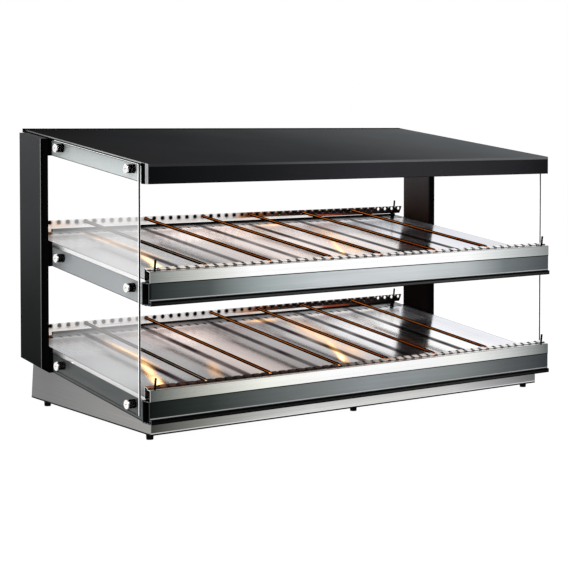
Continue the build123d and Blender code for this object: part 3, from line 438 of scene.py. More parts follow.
def glow_pool(finish, place, reach, turn, strength):
    """How strong a long soft pool of lamp light is, at most the given strength."""
    local = finish.add(
        "ShaderNodeMapping",
        ("Vector", finish.place),
        ("Location", (*place, 0.0)),
        ("Rotation", (0.0, 0.0, radians(turn))),
        ("Scale", (*reach, 1000.0)),
        vector_type="TEXTURE",
    ).outputs["Vector"]
    away = finish.add("ShaderNodeVectorMath", (0, local), operation="LENGTH").outputs["Value"]
    return finish.spread(away, 0.0, 1.0, strength, 0.0, smooth=True)


def tray_finish(tier):
    """Bright tray: fine lines, painted shadows under the rods, painted pools of lamp light."""
    finish = Finish(f"{tier}_tray_steel", metallic=1.0, roughness=0.4)
    x = finish.axis("X")
    y = finish.axis("Y")
    # Painted shadows under the rods, in patches
    beside_rods = [finish.size(finish.minus(x, hole * HOLE_PITCH - 0.004)) for hole in RODS[tier]]
    rod_shadows = [finish.spread(away, 0.005, 0.017, 1.0, 0.0, smooth=True) for away in beside_rods]
    patchy = finish.vary(finish.noise((4.0, 7.0, 1.0), 2.0), 0.58, 0.95)
    rod_shadows = finish.times(finish.most(*rod_shadows), patchy)
    # Hems: bright at the ends with grey edges, plain behind
    hem = finish.sideways()
    rear_hem = finish.turned("Y")
    rise = finish.minus(finish.level(), TRAYS[tier])
    edges = finish.most(finish.spread(rise, -0.0108, -0.0116), finish.spread(rise, -0.0022, -0.0014))
    # Painted shade along the rear edge, and painted reflections of the rail holes in it
    above = finish.turned("Z")
    shadow = finish.times(finish.spread(y, 0.238, 0.268, smooth=True), above, 0.62)
    near_hole = finish.spread(finish.size(finish.off_hole(x)), 0.12, 0.2, 1.0, 0.0)
    hole_reflections = finish.times(near_hole, finish.stripe(y, 0.25, 0.268, 0.003))
    dark = finish.times(finish.most(rod_shadows, shadow, hole_reflections), finish.minus(1.0, rear_hem))
    finish.feed("Specular Tint", finish.grey(finish.spread(dark, 0.0, 1.0, 1.0, 0.16)))
    rim = finish.maths("GREATER_THAN", finish.size(x), 0.5932)
    # Lamp light
    smear = finish.vary(finish.noise((60.0, 5.0, 5.0), 2.0), 0.7, 1.2)
    glow = finish.times(finish.most(*[glow_pool(finish, *pool) for pool in POOLS[tier]]), smear)
    tint = finish.painted(
        finish.ramp(finish.across(TRAY_HALF), TRAY_GRADES[tier]),
        ((66, 50, 54), rod_shadows),
        (HEM_TONES[tier], hem),
        ((168, 172, 174), rear_hem),
        (70, hem, edges),
        ((66, 60, 62), shadow),
        ((44, 36, 38), hole_reflections, 0.6),
        ((84, 84, 86), rim, above),
        ((255, 200, 132), finish.spread(glow, 0.0, 0.6, 0.0, 0.9)),
    )
    grain = finish.noise((380.0, 2.0, 2.0), 3.0)
    cloud = finish.vary(finish.noise((5.0, 3.0, 5.0)), 0.9, 1.1)
    finish.feed("Base Color", finish.shaded(tint, finish.times(finish.vary(grain, 0.93, 1.07), cloud)))
    hazy = finish.times(finish.stripe(y, 0.09, 0.26, 0.03), 0.14)
    finish.feed("Roughness", finish.plus(finish.vary(grain, 0.11, 0.18), hazy))
    finish.relief(grain, 0.08)
    dim = finish.most(finish.times(dark, 0.95), finish.spread(x, 0.12, 0.25, 0.0, 0.75))
    finish.feed("Emission Color", finish.painted(finish.ramp(glow, GLOW_GRADES), ((0, 0, 0), dim)))
    finish.preset("Emission Strength", 1.0)
    return finish


def rail_finish(tier):
    """Front rail: a bright band with painted reflections, a fine dark line, a strip, and pale teeth with
    black gaps and walls of painted shade.
    """
    finish = Finish(f"{tier}_front_rail_steel", metallic=1.0, roughness=0.24)
    x = finish.axis("X")
    y = finish.axis("Y")
    z = finish.axis("Z")
    across = finish.across(RAIL_HALF)
    ahead = finish.turned("Y", -1.0)
    above = finish.turned("Z")
    outside = finish.most(ahead, above)
    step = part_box(f"{tier}_front_rail")[0][1] + 0.012
    strip = finish.maths("LESS_THAN", y, step)
    lip_line = finish.stripe(z, TRAYS[tier] + 0.0186, TRAYS[tier] + 0.0196, THIN)
    # Teeth: pale on top and in front, a black slanted gap in front of each notch; the gaps, the dark foot and
    # the black walls are painted shade
    teeth = finish.maths("GREATER_THAN", y, step - 0.0004)
    tooth_foot = TRAYS[tier] + 0.0224
    foot = finish.spread(z, tooth_foot, tooth_foot - 0.0006)
    lean = finish.times(finish.minus(z, tooth_foot), -1.1)
    aside = finish.size(finish.off_hole(finish.minus(x, lean)))
    gap = finish.spread(aside, 0.2, 0.24, 1.0, 0.0)
    finish.feed("Metallic", finish.spread(finish.times(teeth, outside), 0.0, 1.0, 1.0, 0.1))
    finish.feed("Specular IOR Level", finish.spread(teeth, 0.0, 1.0, 0.5, 0.03))
    tint = finish.painted(
        finish.ramp(across, BAND_GRADES[tier]),
        (250, above, strip, 0.45),
        (60, ahead, lip_line),
        (finish.ramp(across, TEETH_GRADES[tier]), teeth),
        ((40, 34, 32), ahead, teeth, foot),
        ((8, 6, 6), ahead, teeth, gap),
        ((10, 7, 7), teeth, finish.minus(1.0, outside)),
        ((235, 236, 234), finish.sideways(0.9), finish.spread(finish.size(x), 0.6036, 0.6038)),
        ((70, 14, 16), finish.turned("Z", -1.0)),
    )
    finish.steel(tint, finish.noise(LINES["X"]), (0.94, 1.06), (0.18, 0.32), 0.12)
    return finish


def rear_rail_finish(tier):
    """Perforated rail: pale on the left, dark on the right, with painted shade round its holes."""
    finish = Finish(f"{tier}_rear_rail_steel", metallic=0.5, roughness=0.3, Specular_IOR_Level=0.1)
    x = finish.axis("X")
    wander = finish.plus(x, finish.vary(finish.noise((9.0, 1.0, 20.0)), -0.05, 0.05))
    across = finish.spread(wander, -TRAY_HALF, TRAY_HALF)
    aside = finish.times(finish.off_hole(x), HOLE_PITCH)
    hole_middle = TRAYS[tier] + (REAR_RAIL - BASE_FRONT) * SLOPE + HOLE_HEIGHT
    up = finish.minus(finish.axis("Z"), hole_middle)
    away = finish.maths("SQRT", finish.plus(finish.times(aside, aside), finish.times(up, up)))
    # Patchy painted shade round the holes and along the top edge, and pale dashes between the holes on the
    # right
    patchy_shade = finish.vary(finish.noise((70.0, 1.0, 50.0), 2.0), 0.35, 0.95)
    halo = finish.spread(away, 0.005, 0.0105, 0.8, 0.0)
    top = finish.spread(up, 0.0076, 0.0086, 0.0, 0.75)
    between = finish.spread(finish.size(aside), 0.0085, 0.0105)
    on_right = finish.spread(x, 0.0, 0.1, 0.0, 0.75)
    tint = finish.painted(
        finish.ramp(across, FLANGE_GRADES),
        (finish.ramp(across, HOLED_GRADES), finish.spread(up, -0.0096, -0.0076)),
        ((58, 38, 32), finish.most(halo, top), patchy_shade),
        ((206, 196, 190), between, finish.spread(up, 0.001, 0.004), on_right),
        ((16, 12, 12), finish.stripe(away, 0.0, 0.0056), 0.9),
        ((8, 6, 6), finish.spread(up, -0.0218, -0.0226)),
    )
    finish.steel(tint, finish.noise((2.0, 420.0, 420.0)), (0.94, 1.06), (0.22, 0.38), 0.1)
    # Lamp light on two stretches
    warm = finish.most(finish.stripe(x, -0.56, -0.5, 0.03), finish.stripe(x, 0.02, 0.07, 0.03))
    flicker = finish.spread(finish.noise((40.0, 8.0, 60.0), 2.0), 0.45, 0.6)
    finish.feed("Emission Color", finish.painted(tint, ((255, 170, 70), warm, flicker, 0.8)))
    finish.preset("Emission Strength", 0.4)
    return finish


def side_finish(name, tone, bottom, edge=0.0012, shade=0.35):
    """Side wall: fine lines along its length, a dark line along its lower edge."""
    finish = Finish(name, metallic=0.35, roughness=0.45, Specular_IOR_Level=0.3)
    front, rear, dark = (tuple(round(part * share) for part in tone) for share in (1.04, 0.96, shade))
    low_edge = finish.spread(finish.level(), bottom + edge, bottom + edge / 2)
    tint = finish.painted(
        finish.ramp(finish.along("Y", BASE_FRONT, 0.1), ((0.0, front), (1.0, rear))),
        (dark, finish.sideways(), low_edge),
    )
    finish.steel(tint, finish.noise((420.0, 2.0, 420.0)), (0.95, 1.05), (0.38, 0.55), 0.1)
    return finish


def canopy_tint(finish):
    """Top: painted light, lighter to the right and darker behind, with black ends and a painted highlight
    line on them.
    """
    across = finish.across(CANOPY_HALF)
    end = finish.sideways()
    # A painted highlight along the top bend of each end
    bright = finish.stripe(finish.level(), CANOPY_TOP - 0.0036, CANOPY_TOP - 0.0008, THIN)
    behind = finish.along("Y", -0.1, 0.25, 0.0, 0.6)
    return finish.painted(
        finish.ramp(across, CANOPY_GRADES),
        ((6, 6, 7), end),
        ((205, 208, 208), end, bright),
        ((14, 14, 15), behind, finish.spread(across, 0.0, 0.4, 1.0, 0.0)),
        ((10, 10, 11), finish.along("Y", 0.27, 0.285)),
    )


def fascia_tint(finish):
    """Fascia: painted sheen, lightest in its middle, a painted highlight line along its top, and pale lines
    on its ends.
    """
    across = finish.across(CANOPY_HALF)
    y = finish.axis("Y")
    z = finish.axis("Z")
    end = finish.sideways()
    lines = finish.ramp(finish.noise((1.0, 500.0, 1.0), 2.0), FASCIA_END_GRADES)
    return finish.painted(
        finish.ramp(across, FASCIA_GRADES),
        ((120, 122, 124), finish.spread(z, 0.6012, 0.6018), finish.spread(across, 0.2, 0.5, 0.1, 0.5)),
        ((4, 4, 5), finish.spread(z, 0.5652, 0.5646)),
        (lines, end),
        ((6, 6, 7), end, finish.spread(y, -0.291, -0.29)),
        ((190, 192, 192), end, finish.stripe(y, -0.2995, -0.2978, THIN)),
    )


def post_tint(finish):
    """Post: painted light, lighter towards its top, with a painted highlight line down the joint of its
    shells.
    """
    rise = finish.along("Z", 0.05, 0.66)
    joint = finish.along("Y", POST_JOINT[0], POST_JOINT[0] - 0.0008)
    return finish.painted(
        finish.ramp(rise, POST_GRADES),
        ((176, 178, 178), finish.sideways(), joint, finish.spread(rise, 0.0, 0.6, 0.35, 0.9)),
        ((6, 6, 7), finish.turned("Y", -1.0)),
    )


def inner_post_tint(finish):
    """Inside of a post: painted reflections of the trays in it, and the dark joint of its shells."""
    return finish.painted(
        finish.ramp(finish.along("Z", 0.1, 0.6), INNER_POST_GRADES),
        ((4, 4, 5), finish.stripe(finish.axis("Y"), *POST_JOINT, THIN)),
        ((8, 8, 9), finish.turned("Y", -1.0)),
    )


def profile_finish(tier):
    """Extruded profile: grey sheen along its lip, black above and below it, ribbed grey ends."""
    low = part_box(f"{tier}_ticket_profile")[0]

    def tint_maker(finish):
        y = finish.axis("Y")
        rise = finish.minus(finish.axis("Z"), low[2])
        on_lip = finish.maths("LESS_THAN", y, low[1] + 0.0006)
        behind_lip = finish.maths("GREATER_THAN", y, low[1] + 0.002)
        lines = finish.ramp(finish.noise((1.0, 400.0, 1.0), 2.0), PROFILE_END_GRADES)
        return finish.painted(
            finish.ramp(finish.across(RAIL_HALF), PROFILE_GRADES[tier]),
            ((4, 4, 5), finish.spread(rise, 0.0022, 0.0014)),
            ((5, 5, 6), finish.spread(rise, 0.0064, 0.007), on_lip),
            ((8, 8, 9), finish.spread(rise, 0.012, 0.0125), behind_lip),
            (lines, finish.sideways()),
        )

    return coated(f"{tier}_profile_coat", tint_maker, 0.35)


def strip_finish(tier):
    """Glossy ticket strip: painted reflections graded along its length, black above, a paler line near its
    foot.
    """
    finish = Finish(f"{tier}_strip_gloss", roughness=0.2, Specular_IOR_Level=0.02)
    low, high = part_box(f"{tier}_ticket_strip")
    z = finish.axis("Z")
    rise = finish.minus(z, low[2])
    top_edge = finish.spread(z, high[2] - 0.0012, high[2] - 0.0006)
    left_edge = finish.along("X", low[0] + 0.0022, low[0] + 0.0016)
    tint = finish.painted(
        finish.ramp(finish.across(RAIL_HALF), STRIP_GRADES[tier]),
        ((14, 16, 17), finish.most(top_edge, left_edge)),
        (250, finish.stripe(rise, 0.0016, 0.0038), 0.35),
        ((30, 33, 34), finish.spread(rise, 0.0016, 0.001)),
    )
    ribs = finish.vary(finish.noise((3.0, 3.0, 160.0), 3.0), 0.95, 1.05)
    finish.feed("Base Color", finish.shaded(tint, ribs))
    finish.feed("Roughness", finish.vary(finish.noise((30.0, 30.0, 30.0)), 0.15, 0.28))
    finish.relief(finish.noise((2.0, 2.0, 300.0)), 0.04)
    return finish


def base_finish():
    """Base: brushed steel with painted reflections, darker towards its ends, painted highlight lines in front
    and a black lower fold.
    """
    finish = Finish("base_steel", metallic=0.8, roughness=0.36)
    ahead = finish.turned("Y", -1.0)
    end = finish.sideways()
    height = finish.axis("Z")
    lines = finish.most(
        finish.stripe(height, 0.0172, 0.0192, THIN), finish.stripe(height, 0.0366, 0.0392, THIN)
    )
    fold = finish.spread(height, 0.0172, 0.0168)
    finish.feed("Specular Tint", finish.grey(finish.spread(fold, 0.0, 1.0, 1.0, 0.1)))
    tint = finish.painted(
        finish.ramp(finish.along("Y", BASE_FRONT, 0.2), BASE_SIDE_GRADES),
        (finish.ramp(finish.across(BASE_HALF), BASE_GRADES), ahead),
        # Painted highlights: a line along the top edge of each end, and pale lines across the front
        ((206, 206, 204), end, finish.stripe(finish.level(), 0.0372, 0.0392, THIN)),
        ((176, 177, 176), finish.turned("Y")),
        (250, ahead, lines, 0.6),
        ((8, 8, 8), fold),
    )
    along_x = finish.noise(LINES["X"])
    along_y = finish.noise((420.0, 2.5, 420.0))
    grain = finish.add(
        "ShaderNodeMix", ("Factor", end), ("A", along_x), ("B", along_y), data_type="FLOAT"
    ).outputs[0]
    finish.steel(tint, grain, (0.86, 1.14), (0.28, 0.46), 0.15)
    return finish


def rod_finish():
    """Polished rod with painted reflections: a bright orange line above over dark, paler and greyer on the
    left.
    """
    finish = Finish("rod_painted_glint", metallic=1.0, roughness=0.3)
    up = finish.spread(finish.facing("Z"), -1.0, 1.0)
    # Painted reflections: the glint on top and the dark below follow the facing, greyer on the left
    tint = finish.painted(
        finish.ramp(up, ORANGE_GLINT_GRADES),
        (finish.ramp(up, GREY_GLINT_GRADES), finish.along("X", -0.44, -0.36, 1.0, 0.0)),
    )
    tint = finish.speckled(tint, (40.0, 3.0, 40.0), 0.25)
    finish.feed("Base Color", tint)
    finish.feed("Specular Tint", tint)
    finish.roughen(finish.noise((300.0, 6.0, 300.0)), (0.24, 0.42), 0.08)
    return finish


def glass_finish():
    """Clear pane: a soft haze between the shelves, painted as a white glow, a black front edge and painted
    highlights glowing on its bevels.
    """
    finish = Finish("pane_glass", roughness=0.2, Specular_IOR_Level=0.0)

    def mixed(amount, first, second):
        return finish.add("ShaderNodeMixShader", (0, amount), (1, first), (2, second)).outputs[0]

    clear = finish.add("ShaderNodeBsdfTransparent", ("Color", WHITE)).outputs[0]
    gloss = finish.add("ShaderNodeBsdfGlossy", ("Color", WHITE), ("Roughness", 0.02)).outputs[0]
    rim = finish.add("ShaderNodeFresnel", ("IOR", 1.3)).outputs[0]
    outside = finish.minus(1.0, finish.add("ShaderNodeNewGeometry").outputs["Backfacing"])
    smear = finish.vary(finish.noise((3.0, 6.0, 3.0), 3.0, 2.0), 0.92, 1.06)
    sheet = mixed(finish.times(rim, outside, smear, 0.12), clear, gloss)
    # Haze painted as a white glow on the left pane: stronger towards the front, none over the shelf sides
    y = finish.axis("Y")
    level = finish.level()
    windows = finish.plus(
        finish.times(finish.stripe(level, TRAYS["lower"] + 0.0005, 0.2985), 0.62),
        finish.stripe(level, TRAYS["upper"] + 0.0005, 0.5635),
    )
    forward = finish.spread(y, 0.13, -0.16, 0.08, 0.26, smooth=True)
    on_left = finish.along("X", -0.01, 0.01, 1.0, 0.0)
    white = finish.add("ShaderNodeEmission", ("Color", WHITE)).outputs[0]
    hazed = mixed(finish.times(windows, forward, smear, on_left), sheet, white)
    # Black front edge, painted highlights glowing on the bevels, grey bottom edge; the rear edge can't be
    # made out
    flat = finish.size(finish.facing("X"))
    bottom = finish.spread(level, 0.0588, 0.0582)
    edge_tint = finish.painted(finish.ramp(flat, GLASS_EDGE_GRADES), ((84, 86, 86), bottom))
    finish.feed("Base Color", edge_tint)
    bevel = finish.spread(flat, 0.45, 0.55)
    finish.feed("Emission Strength", finish.times(bevel, finish.minus(1.0, bottom), 0.5))
    finish.preset("Emission Color", WHITE)
    edge = finish.times(finish.maths("LESS_THAN", flat, 0.95), finish.maths("LESS_THAN", y, 0.12))
    whole = mixed(edge, hazed, finish.shader.outputs[0])
    finish.tree.links.new(whole, finish.tree.nodes["Material Output"].inputs["Surface"])
    return finish


# -------------------------------- finishes of the CAD pieces

finishes = {
    "base": base_finish(),
    "panel": brushed("panel_steel", (172, 172, 170), "X", roughness=0.34, metallic=0.8),
    # The housing sides and the canopy frame: one steel, in three tones of painted light and shade
    "upper_side": side_finish("upper_side_steel", (168, 172, 174), 0.2977),
    "lower_side": side_finish("lower_side_steel", (82, 86, 86), 0.0407, edge=0.0032, shade=0.08),
    "canopy_side": side_finish("canopy_side_steel", (212, 219, 219), 0.5637),
    "zinc": brushed("zinc_sheet", (150, 154, 158), "X", roughness=0.42, amount=0.1),
    "caps": brushed("polished_caps", (244, 244, 242), "Y", roughness=0.2, amount=0.03),
    "pins": coated("dark_pins", lambda finish: (10, 8, 8)),
    "reflector": brushed("bright_reflector", (196, 190, 182), "X", roughness=0.28, amount=0.06),
    "sheath": moulded("element_sheath", (60, 44, 38), 0.6, 0.3).lit((255, 96, 24), 1.2),
    "canopy_top": coated("canopy_coat", canopy_tint),
    "fascia": coated("fascia_coat", fascia_tint),
    "post": coated("post_coat", post_tint),
    "black": coated("black_coat", lambda finish: (5, 5, 6)),
    "inner_post": coated("inner_post_coat", inner_post_tint),
    "glass": glass_finish(),
    "lens": moulded("lamp_glass", (255, 236, 200), 0.35, 0.4, 400.0).lit((255, 214, 150), 3.0),
    "rubber": moulded("foot_rubber", (16, 16, 16), 0.7, 0.02),
    "plastic": moulded("black_plastic", (26, 26, 27), 0.5, 0.15),
    "gloss_plastic": moulded("glossy_plastic", (20, 20, 21), 0.25, 0.3),
    "white_plastic": moulded("white_plastic", (226, 222, 214), 0.5, 0.3),
    "amber": moulded("amber_lens", (226, 132, 30), 0.25, 0.4).lit((255, 150, 30), 0.6),
    "mat": moulded("heating_mat", (150, 66, 40), 0.6, 0.2, 500.0),
    "rods": rod_finish(),
}
dress = {
    "base_pedestal": "base", "base_bottom_pan": "zinc", "control_panel": "panel", "rubber_feet": "rubber",
    "switch_bodies": "plastic", "thermostat_bodies": "plastic", "indicator_lamps": "amber",
    "cord_gland": "plastic", "terminal_block": "white_plastic", "left_post_outer_shell": "post",
    "right_post_outer_shell": "post", "post_inner_shells": "inner_post", "shelf_brackets": "black",
    "left_pane": "glass", "right_pane": "glass", "standoff_caps": "caps", "standoff_spacers": "black",
    "canopy_cover": "canopy_top", "canopy_fascia": "fascia", "canopy_frame": "canopy_side",
    "canopy_reflector": "reflector", "upper_reflector": "reflector", "canopy_heating_element": "sheath",
    "upper_heating_element": "sheath", "element_clips": "zinc", "lamp_cups": "reflector",
    "lamp_lenses": "lens", "lamp_bulbs": "lens", "tray_heaters": "mat", "corner_pins": "pins",
}
tier_finishes = {
    "tray": tray_finish, "front_rail": rail_finish, "rear_rail": rear_rail_finish,
    "ticket_profile": profile_finish, "ticket_strip": strip_finish,
}
for tier in TRAYS:
    dress[f"{tier}_housing"] = f"{tier}_side"
    dress[f"{tier}_tier_rocker"] = "gloss_plastic"
    dress[f"{tier}_thermostat_knob"] = "plastic"
    dress[f"{tier}_thermostat_shaft"] = "zinc"
    for piece, make_finish in tier_finishes.items():
        finishes[f"{tier}_{piece}"] = make_finish(tier)
        dress[f"{tier}_{piece}"] = f"{tier}_{piece}"
    for number in range(1, 7):
        dress[f"{tier}_divider_{number}"] = "rods"
for node, key in dress.items():
    nodes[node].data.materials.clear()
    nodes[node].data.materials.append(finishes[key].material)


# -------------------------------- small pieces

def in_scene(name, data):
    """A new object in the scene."""
    thing = bpy.data.objects.new(name, data)
    bpy.context.scene.collection.objects.link(thing)
    return thing


def plain_mesh(thing):
    """What an object's modifiers or its letters come to, as a plain mesh."""
    bpy.context.view_layer.update()
    return bpy.data.meshes.new_from_object(thing.evaluated_get(bpy.context.evaluated_depsgraph_get()))


def plain_piece(name, mesh, finish):
    """A finished mesh as a piece that rides the cabinet."""
    piece = in_scene(name, mesh)
    if not mesh.materials:
        mesh.materials.append(finishes[finish].material)
    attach(piece, "cabinet")


def worked_piece(name, work, finish):
    """Worked faces, all made to look outwards, as a piece."""
    bmesh.ops.recalc_face_normals(work, faces=work.faces)
    mesh = bpy.data.meshes.new(name)
    work.to_mesh(mesh)
    work.free()
    plain_piece(name, mesh, finish)


def repeated(name, spots, sizes, shape, finish):
    """One small shape grown at many spots by Geometry Nodes; spots are (place, turn) pairs."""
    cloud = bpy.data.meshes.new(name)
    cloud.from_pydata([place for place, turn in spots], [], [])
    turns = cloud.attributes.new("turn", "FLOAT_VECTOR", "POINT")
    for entry, (place, turn) in zip(turns.data, spots):
        entry.vector = turn
    seed = in_scene(f"{name}_spots", cloud)
    tree = bpy.data.node_groups.new(name, "GeometryNodeTree")
    node = partial(new_node, tree)
    face = tree.interface
    face.new_socket("Geometry", in_out="INPUT", socket_type="NodeSocketGeometry")
    for label in sizes:
        face.new_socket(label, in_out="INPUT", socket_type="NodeSocketFloat")
    face.new_socket("Geometry", in_out="OUTPUT", socket_type="NodeSocketGeometry")
    given = node("NodeGroupInput").outputs
    spin = node("GeometryNodeInputNamedAttribute", ("Name", "turn"), data_type="FLOAT_VECTOR")
    scattered = node(
        "GeometryNodeInstanceOnPoints",
        ("Points", given["Geometry"]),
        ("Instance", shape(node, given)),
        ("Rotation", spin.outputs[0]),
    )
    real = node("GeometryNodeRealizeInstances", ("Geometry", scattered.outputs[0]))
    coat = node(
        "GeometryNodeSetMaterial", ("Geometry", real.outputs[0]), ("Material", finishes[finish].material)
    )
    node("NodeGroupOutput", (0, coat.outputs[0]))
    grower = seed.modifiers.new("grow", "NODES")
    grower.node_group = tree
    for socket in face.items_tree:
        if socket.item_type == "SOCKET" and socket.in_out == "INPUT" and socket.name in sizes:
            grower[socket.identifier] = sizes[socket.name]
    mesh = plain_mesh(seed)
    mesh.name = name
    bpy.data.objects.remove(seed)
    plain_piece(name, mesh, finish)


def share(node, value, part):
    """A share of a value."""
    return node("ShaderNodeMath", (0, value), (1, part), operation="MULTIPLY").outputs[0]


def raised(node, mesh, height):
    """A shape moved up by a height."""
    lift = node("ShaderNodeCombineXYZ", (2, height)).outputs[0]
    return node("GeometryNodeTransform", ("Geometry", mesh), ("Translation", lift)).outputs[0]


def block(node, *sides):
    """A block whose middle is at the spot."""
    size = node("ShaderNodeCombineXYZ", *enumerate(sides)).outputs[0]
    return node("GeometryNodeMeshCube", ("Size", size)).outputs["Mesh"]


def box_shape(node, sizes):
    """Plain block with the sizes Width, Depth and Height."""
    return block(node, sizes["Width"], sizes["Depth"], sizes["Height"])


def crowned_drum(node, sizes, drum, taper, crown):
    """A drum and its tapering crown; drum, taper and crown are shares of Height, Radius and Height."""
    radius, height = sizes["Radius"], sizes["Height"]
    lower = node(
        "GeometryNodeMeshCylinder", ("Vertices", 20), ("Radius", radius), ("Depth", share(node, height, drum))
    ).outputs["Mesh"]
    upper = node(
        "GeometryNodeMeshCone", ("Vertices", 20), ("Radius Bottom", radius),
        ("Radius Top", share(node, radius, taper)), ("Depth", share(node, height, crown)),
    ).outputs["Mesh"]
    join = node("GeometryNodeJoinGeometry", ("Geometry", lower))
    join.id_data.links.new(raised(node, upper, share(node, height, drum / 2)), join.inputs[0])
    return join


def disc_shape(node, sizes):
    """Low disc with a chamfered rim, its middle at the spot."""
    return crowned_drum(node, sizes, 1.0, 0.86, 0.3).outputs[0]


def screw_shape(node, sizes):
    """Pan head with a cross of two low bars on its top."""
    head = crowned_drum(node, sizes, 0.6, 0.7, 0.4)
    radius, height = sizes["Radius"], sizes["Height"]
    for wide, deep in ((1.1, 0.26), (0.26, 1.1)):
        bar = block(node, share(node, radius, wide), share(node, radius, deep), share(node, height, 0.1))
        head.id_data.links.new(raised(node, bar, share(node, height, 0.68)), head.inputs[0])
    return head.outputs[0]


def ring_shape(node, sizes):
    """Round ring with a round section."""
    path, section = (
        node("GeometryNodeCurvePrimitiveCircle", ("Resolution", count), ("Radius", sizes[size])).outputs[0]
        for count, size in ((32, "Radius"), (8, "Wire"))
    )
    return node("GeometryNodeCurveToMesh", ("Curve", path), ("Profile Curve", section)).outputs[0]


def facing_turn(direction):
    """The turn that points a shape's top along a direction."""
    return tuple(Vector(direction).to_track_quat("Z", "Y").to_euler())


def on_slope(x, depth, height):
    """A place above the sloping plane, by its depth behind the base's front edge."""
    return (x, BASE_FRONT + depth, height + depth * SLOPE)


def on_panel(x, up, out):
    """A place on the rear control panel; x is the cabinet's own, up runs along the panel."""
    y, z = PANEL_FOOT
    return (x, y - up * sin(TILT) + out * cos(TILT), z + up * cos(TILT) + out * sin(TILT))


PANEL_OUT = Vector((0.0, cos(TILT), sin(TILT)))
PANEL_UP = Vector((0.0, -sin(TILT), cos(TILT)))
PANEL_RIGHT = Vector((-1.0, 0.0, 0.0))
panel_turn = facing_turn(PANEL_OUT)
rear_turn = facing_turn((0.0, 1.0, 0.0))
free_holes = [
    (tier, number) for tier in TRAYS for number in range(-23, 24) if number not in RODS[tier]
]

# Black plugs in the rear rails' holes that hold no rod, bar the last ones on the right
LAST_PLUG = 19
plug_depth = REAR_RAIL - BASE_FRONT + 0.0006
plugs = [
    (on_slope(number * HOLE_PITCH, plug_depth, TRAYS[tier] + HOLE_HEIGHT), rear_turn)
    for tier, number in free_holes
    if number <= LAST_PLUG
]
repeated("hole_plugs", plugs, {"Radius": 0.0043, "Height": 0.0009}, disc_shape, "rubber")

# Black blocks in the front rails' notches that hold no rod, standing in for the shade inside them
notch_shade_spots = [
    (on_slope(number * HOLE_PITCH, -0.0093, TRAYS[tier] + 0.0241), (TILT, 0.0, 0.0))
    for tier, number in free_holes
]
notch_shade_sizes = {"Width": 0.0086, "Depth": 0.0104, "Height": 0.003}
repeated("notch_shade_blocks", notch_shade_spots, notch_shade_sizes, box_shape, "rubber")


def rear_dark_strip(tier):
    """Black strip pushed over the rear hem of a tray; it stands in for the dark reflection along the tray's
    rear edge.
    """
    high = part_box(f"{tier}_tray")[1]
    # Its section: how far behind the hem's rear face and above its top, in metres
    section = (
        (0.0008, -0.003), (0.0008, 0.0034), (-0.0002, 0.0042), (-0.0016, 0.0042),
        (-0.0024, 0.0034), (-0.0024, 0.0002), (0.0001, 0.0002), (0.0001, -0.003),
    )
    half = high[0] - 0.004
    work = bmesh.new()
    left, right = (
        [work.verts.new((x, high[1] + behind, high[2] + above)) for behind, above in section]
        for x in (-half, half)
    )
    for corners in zip(left, left[1:] + left[:1], right[1:] + right[:1], right):
        work.faces.new(corners)
    for end in (left, right):
        work.faces.new(end)
    worked_piece(f"{tier}_tray_edging", work, "rubber")


for tier in TRAYS:
    rear_dark_strip(tier)

# Zinc screws: control panel, rear hems of the trays, bottom pan
panel_screws = [
    (on_panel(x, up, 0.0006), panel_turn) for x in (-0.565, -0.2, 0.4, 0.565) for up in (0.008, 0.09)
]
repeated("panel_screws", panel_screws, {"Radius": 0.0032, "Height": 0.0018}, screw_shape, "zinc")
HEM_SPOTS = (-0.55, -0.33, -0.11, 0.11, 0.33, 0.55)
hem_screws = []
for tier in TRAYS:
    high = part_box(f"{tier}_tray")[1]
    hem_screws += [((x, high[1] + 0.0003, high[2] - 0.0065), rear_turn) for x in HEM_SPOTS]
repeated("hem_screws", hem_screws, {"Radius": 0.0028, "Height": 0.0014}, screw_shape, "zinc")
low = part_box("base_bottom_pan")[0]
pan_turn = facing_turn((0.0, 0.0, -1.0))
pan_screws = [((x, y, low[2] - 0.0003), pan_turn) for x in (-0.5, 0.0, 0.5) for y in (-0.27, 0.288)]
repeated("pan_screws", pan_screws, {"Radius": 0.003, "Height": 0.0016}, screw_shape, "zinc")

# Black screws: the canopy's rear hem and the backs of the posts
POST_DEPTH = 0.555
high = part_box("canopy_cover")[1]
black_screws = [((x, high[1] + 0.0001, high[2] - 0.0052), rear_turn) for x in HEM_SPOTS]
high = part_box("left_post_outer_shell")[1]
black_screws += [
    ((x, high[1] + 0.0004, height + POST_DEPTH * SLOPE - drop), rear_turn)
    for x in (-0.615, 0.615)
    for height in (TRAYS["lower"], TRAYS["upper"], CANOPY_TOP)
    for drop in (0.016, 0.036)
]
screw_sizes = {"Radius": 0.003, "Height": 0.0016}
repeated("black_screws", black_screws, screw_sizes, screw_shape, "plastic")

# Slots across the stand-off caps
cap_slots = [
    (on_slope(side * 0.6161, depth, height), (radians(20.0 * side + 90.0), 0.0, 0.0))
    for side in (-1, 1)
    for depth in (0.057, 0.39)
    for height in (TRAYS["lower"] - 0.0285, TRAYS["upper"] - 0.0285, CANOPY_TOP - 0.0225)
]
slot_sizes = {"Width": 0.0003, "Depth": 0.0009, "Height": 0.0062}
repeated("cap_slots", cap_slots, slot_sizes, box_shape, "rubber")

